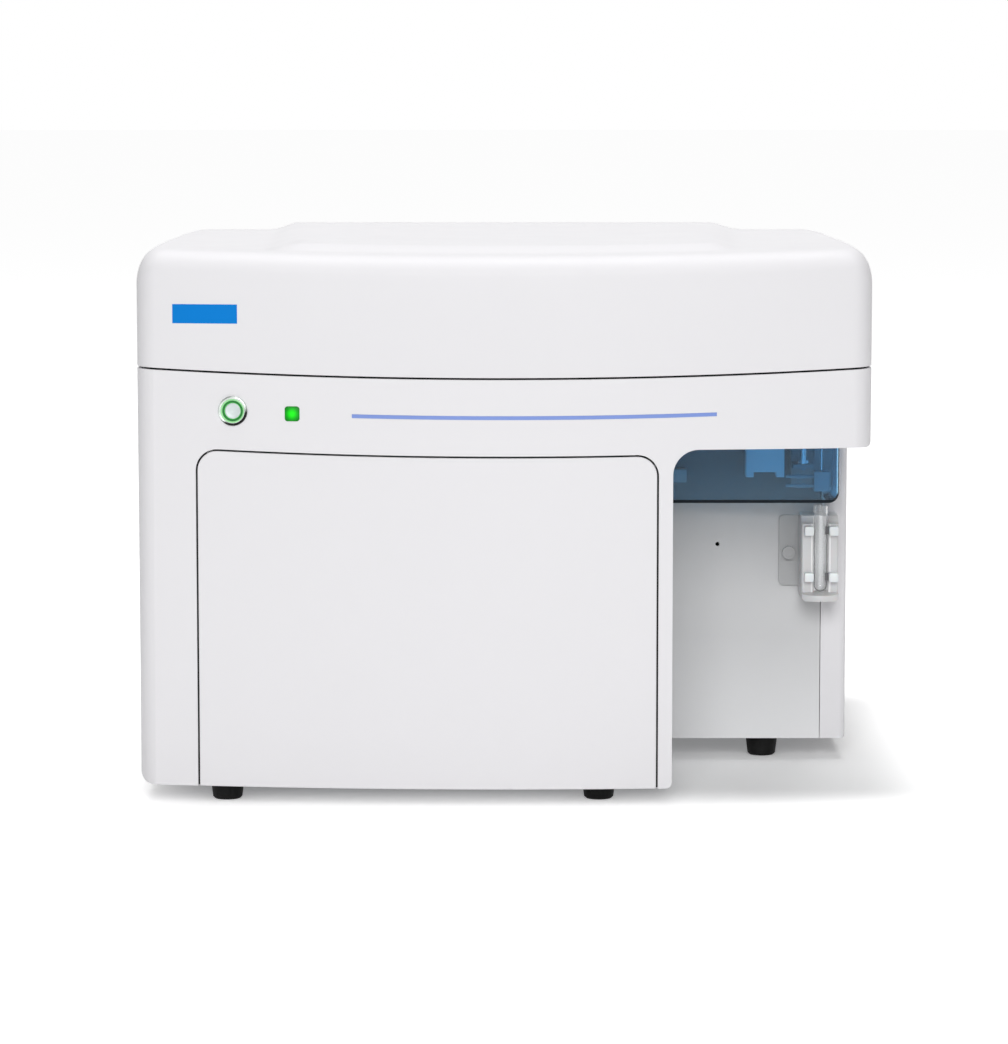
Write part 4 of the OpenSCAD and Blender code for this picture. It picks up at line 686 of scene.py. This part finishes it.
def status_lamp():
    """A rounded square lens over the status light, brighter in its middle."""
    half, r, deep = 6.0, 2.2, 0.45
    outline = []
    for cx, cz, a0 in ((1, 1, 0), (-1, 1, 90), (-1, -1, 180), (1, -1, 270)):
        for i in range(9):
            a = math.radians(a0 + 90 * i / 8)
            outline.append((cx * (half - r) + r * math.cos(a), cz * (half - r) + r * math.sin(a)))
    n = len(outline)
    verts = [(x, 0.2, z) for x, z in outline] + [(x, -deep + 0.15, z) for x, z in outline]
    verts += [(x * 0.95, -deep, z * 0.95) for x, z in outline]
    verts.append((0, -deep - 0.1, 0))
    faces = [tuple(range(n))]
    for k in range(2):
        a, b = k * n, (k + 1) * n
        faces += [(a + i, b + i, b + (i + 1) % n, a + (i + 1) % n) for i in range(n)]
    faces += [(2 * n + i, 3 * n, 2 * n + (i + 1) % n) for i in range(n)]
    ob = make_object("status_lens", verts, faces, M["led"], None, sharp=40)
    ob.matrix_world = front_frame_at(STATUS_X, STATUS_Z, 0)
    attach(ob, "case")


status_lamp()

# ---------------------------------------------------------------- tubing in the fluidics bay


def tubing(name, points):
    """A round tube on a smooth curve through the points, in millimetres."""
    radius, sides, steps = 1.45, 14, 12
    ends = [2 * Vector(points[0]) - Vector(points[1])] + [Vector(p) for p in points]
    ends.append(2 * ends[-1] - ends[-2])
    path = []
    for a, b, c, d in zip(ends, ends[1:], ends[2:], ends[3:]):
        for i in range(steps):
            t = i / steps
            path.append(0.5 * (2 * b + (c - a) * t + (2 * a - 5 * b + 4 * c - d) * t * t
                               + (3 * b - a - 3 * c + d) * t ** 3))
    path.append(ends[-2])
    verts, faces = [], []
    across = Vector((0, 1, 0))
    for i, p in enumerate(path):
        along = (path[min(i + 1, len(path) - 1)] - path[max(i - 1, 0)]).normalized()
        across = (across - along * across.dot(along)).normalized()
        other = along.cross(across)
        verts += [p + radius * (across * math.cos(a) + other * math.sin(a))
                  for a in (2 * math.pi * k / sides for k in range(sides))]
    for i in range(len(path) - 1):
        for k in range(sides):
            a, b = i * sides + k, i * sides + (k + 1) % sides
            faces.append((a, b, b + sides, a + sides))
    faces.append(tuple(reversed(range(sides))))
    faces.append(tuple((len(path) - 1) * sides + k for k in range(sides)))
    make_object(name, verts, faces, M["tubing"], "case")


# Where the tubes end: the pumps' ports on both sides of each head, and the ports above and below the valves.
PUMP_X, PUMP_PORT_OUT, PUMP_PORT_Y = (-92.0, 2.0), 25.5, -198.0
VALVE_X, VALVE_STEP, VALVE_Y = -94.0, 32.0, -192.0
VALVE_LOW, VALVE_TOP = 167.8, 220.3
for k, x in enumerate(pump + side * PUMP_PORT_OUT for pump in PUMP_X for side in (-1, 1)):
    valve = VALVE_X + VALVE_STEP * k
    tubing(f"pump_line_{k}", [(x, PUMP_PORT_Y, 126), (x, PUMP_PORT_Y, 136),
                              (0.6 * x + 0.4 * valve, -196, 147), (valve, VALVE_Y, 158),
                              (valve, VALVE_Y, VALVE_LOW)])
LAST_VALVE = VALVE_X + 4 * VALVE_STEP
tubing("syringe_line", [(-190, -250, 255.4), (-190, -249, 263), (-176, -240, 277), (-140, -222, 276),
                        (-104, -198, 252), (VALVE_X, VALVE_Y, 234), (VALVE_X, VALVE_Y, VALVE_TOP)])
tubing("sheath_line", [(88, -214, 200.4), (88, -213, 212), (78, -206, 232), (56, -197, 242), (38, -193, 234),
                       (LAST_VALVE, VALVE_Y, VALVE_TOP)])
tubing("filter_line", [(88, -214, 59.6), (86, -214, 50), (74, -213, 44), (52, -212, 60), (44, -206, 100),
                       (36, -196, 150), (LAST_VALVE, VALVE_Y, VALVE_LOW)])

# ---------------------------------------------------------------- stage, light and camera

WORLD_LIGHT = 0.20
# The patch of floor under the object: its middle, its half size, and how far it takes to reach the white.
SHADE_MIDDLE, SHADE_HALF, SHADE_FADE = (0.03, 0.02, 0.0), (0.265, 0.23, 1.0), 0.14
SHADE_GLOW, FLOOR_GLOW, FLOOR_RADIUS = 0.15, 0.80, 60
CAMERA_PLACE, CAMERA_TILT, CAMERA_LENS = (-0.0003, -3.4965, 0.5815), 6.197, 136.2


def hidden_rays(nt):
    """1 for camera, glossy and transmission rays, and 0 for the rest."""
    path = nt.nodes.new("ShaderNodeLightPath")
    add1 = nt.nodes.new("ShaderNodeMath")
    add2 = nt.nodes.new("ShaderNodeMath")
    add2.use_clamp = True
    nt.links.new(path.outputs["Is Camera Ray"], add1.inputs[0])
    nt.links.new(path.outputs["Is Glossy Ray"], add1.inputs[1])
    nt.links.new(add1.outputs[0], add2.inputs[0])
    nt.links.new(path.outputs["Is Transmission Ray"], add2.inputs[1])
    return add2.outputs[0]


def staged_floor():
    """A white floor that is darker under the object only, and runs into the backdrop away from it."""
    me = bpy.data.meshes.new("floor")
    bm = bmesh.new()
    bmesh.ops.create_circle(bm, cap_ends=True, segments=96, radius=FLOOR_RADIUS)
    bm.to_mesh(me)
    bm.free()
    ob = bpy.data.objects.new("floor", me)
    bpy.context.scene.collection.objects.link(ob)
    ob.location.z = -0.0002
    m, nt, bsdf = new_material("floor_paint")
    bsdf.inputs["Roughness"].default_value = 0.9
    bsdf.inputs["Specular IOR Level"].default_value = 0.0
    bsdf.inputs["Base Color"].default_value = (0.88, 0.88, 0.88, 1)
    glow = nt.nodes.new("ShaderNodeEmission")
    c = nt.nodes.new("ShaderNodeTexCoord")
    move = nt.nodes.new("ShaderNodeVectorMath")
    move.operation = "SUBTRACT"
    move.inputs[1].default_value = SHADE_MIDDLE
    nt.links.new(c.outputs["Object"], move.inputs[0])
    size = nt.nodes.new("ShaderNodeVectorMath")
    size.operation = "ABSOLUTE"
    nt.links.new(move.outputs["Vector"], size.inputs[0])
    inside = nt.nodes.new("ShaderNodeVectorMath")
    inside.operation = "SUBTRACT"
    inside.inputs[1].default_value = SHADE_HALF
    nt.links.new(size.outputs["Vector"], inside.inputs[0])
    out = nt.nodes.new("ShaderNodeVectorMath")
    out.operation = "MAXIMUM"
    out.inputs[1].default_value = (0.0, 0.0, 0.0)
    nt.links.new(inside.outputs["Vector"], out.inputs[0])
    length = nt.nodes.new("ShaderNodeVectorMath")
    length.operation = "LENGTH"
    nt.links.new(out.outputs["Vector"], length.inputs[0])
    far = nt.nodes.new("ShaderNodeMapRange")
    far.interpolation_type = "SMOOTHSTEP"
    far.inputs["From Min"].default_value = 0.0
    far.inputs["From Max"].default_value = SHADE_FADE
    far.inputs["To Min"].default_value = SHADE_GLOW
    far.inputs["To Max"].default_value = FLOOR_GLOW
    nt.links.new(length.outputs["Value"], far.inputs["Value"])
    nt.links.new(far.outputs["Result"], glow.inputs["Strength"])
    none = nt.nodes.new("ShaderNodeEmission")
    none.inputs["Strength"].default_value = 0.0
    pick = nt.nodes.new("ShaderNodeMixShader")
    nt.links.new(hidden_rays(nt), pick.inputs[0])
    nt.links.new(none.outputs[0], pick.inputs[1])
    nt.links.new(glow.outputs[0], pick.inputs[2])
    both = nt.nodes.new("ShaderNodeAddShader")
    nt.links.new(bsdf.outputs[0], both.inputs[0])
    nt.links.new(pick.outputs[0], both.inputs[1])
    nt.links.new(both.outputs[0], nt.nodes["Material Output"].inputs["Surface"])
    me.materials.append(m)


def lit_world():
    """A white backdrop to look at, which lights the object only weakly."""
    w = bpy.data.worlds.new("studio")
    bpy.context.scene.world = w
    w.use_nodes = True
    nt = w.node_tree
    light = nt.nodes["Background"]
    light.inputs["Color"].default_value = (1, 1, 1, 1)
    light.inputs["Strength"].default_value = WORLD_LIGHT
    white = nt.nodes.new("ShaderNodeBackground")
    white.inputs["Color"].default_value = (1, 1, 1, 1)
    pick = nt.nodes.new("ShaderNodeMixShader")
    nt.links.new(hidden_rays(nt), pick.inputs[0])
    nt.links.new(light.outputs[0], pick.inputs[1])
    nt.links.new(white.outputs[0], pick.inputs[2])
    nt.links.new(pick.outputs[0], nt.nodes["World Output"].inputs["Surface"])


def soft_light(name, place, target, size, power):
    """A round area light in metres and watts, turned to its target."""
    d = bpy.data.lights.new(name, "AREA")
    d.shape = "DISK"
    d.size = size
    d.energy = power
    ob = bpy.data.objects.new(name, d)
    ob.location = place
    ob.rotation_euler = (Vector(target) - Vector(place)).to_track_quat("-Z", "Y").to_euler()
    bpy.context.scene.collection.objects.link(ob)


staged_floor()
lit_world()
soft_light("key", place=(0.0, -5.0, 2.0), target=(0, 0, 0.2), size=2.2, power=138)
soft_light("top", place=(0.0, 0.3, 4.2), target=(0, 0, 0.3), size=3.0, power=106)

cam_data = bpy.data.cameras.new("camera")
cam_data.lens = CAMERA_LENS
cam_data.sensor_width = 36
cam_data.sensor_fit = "AUTO"
cam_data.clip_end = 200
camera = bpy.data.objects.new("camera", cam_data)
camera.location = CAMERA_PLACE
camera.rotation_euler = (math.radians(90 - CAMERA_TILT), 0, 0)
bpy.context.scene.collection.objects.link(camera)
bpy.context.scene.camera = camera
bpy.context.scene.view_settings.view_transform = "Standard"
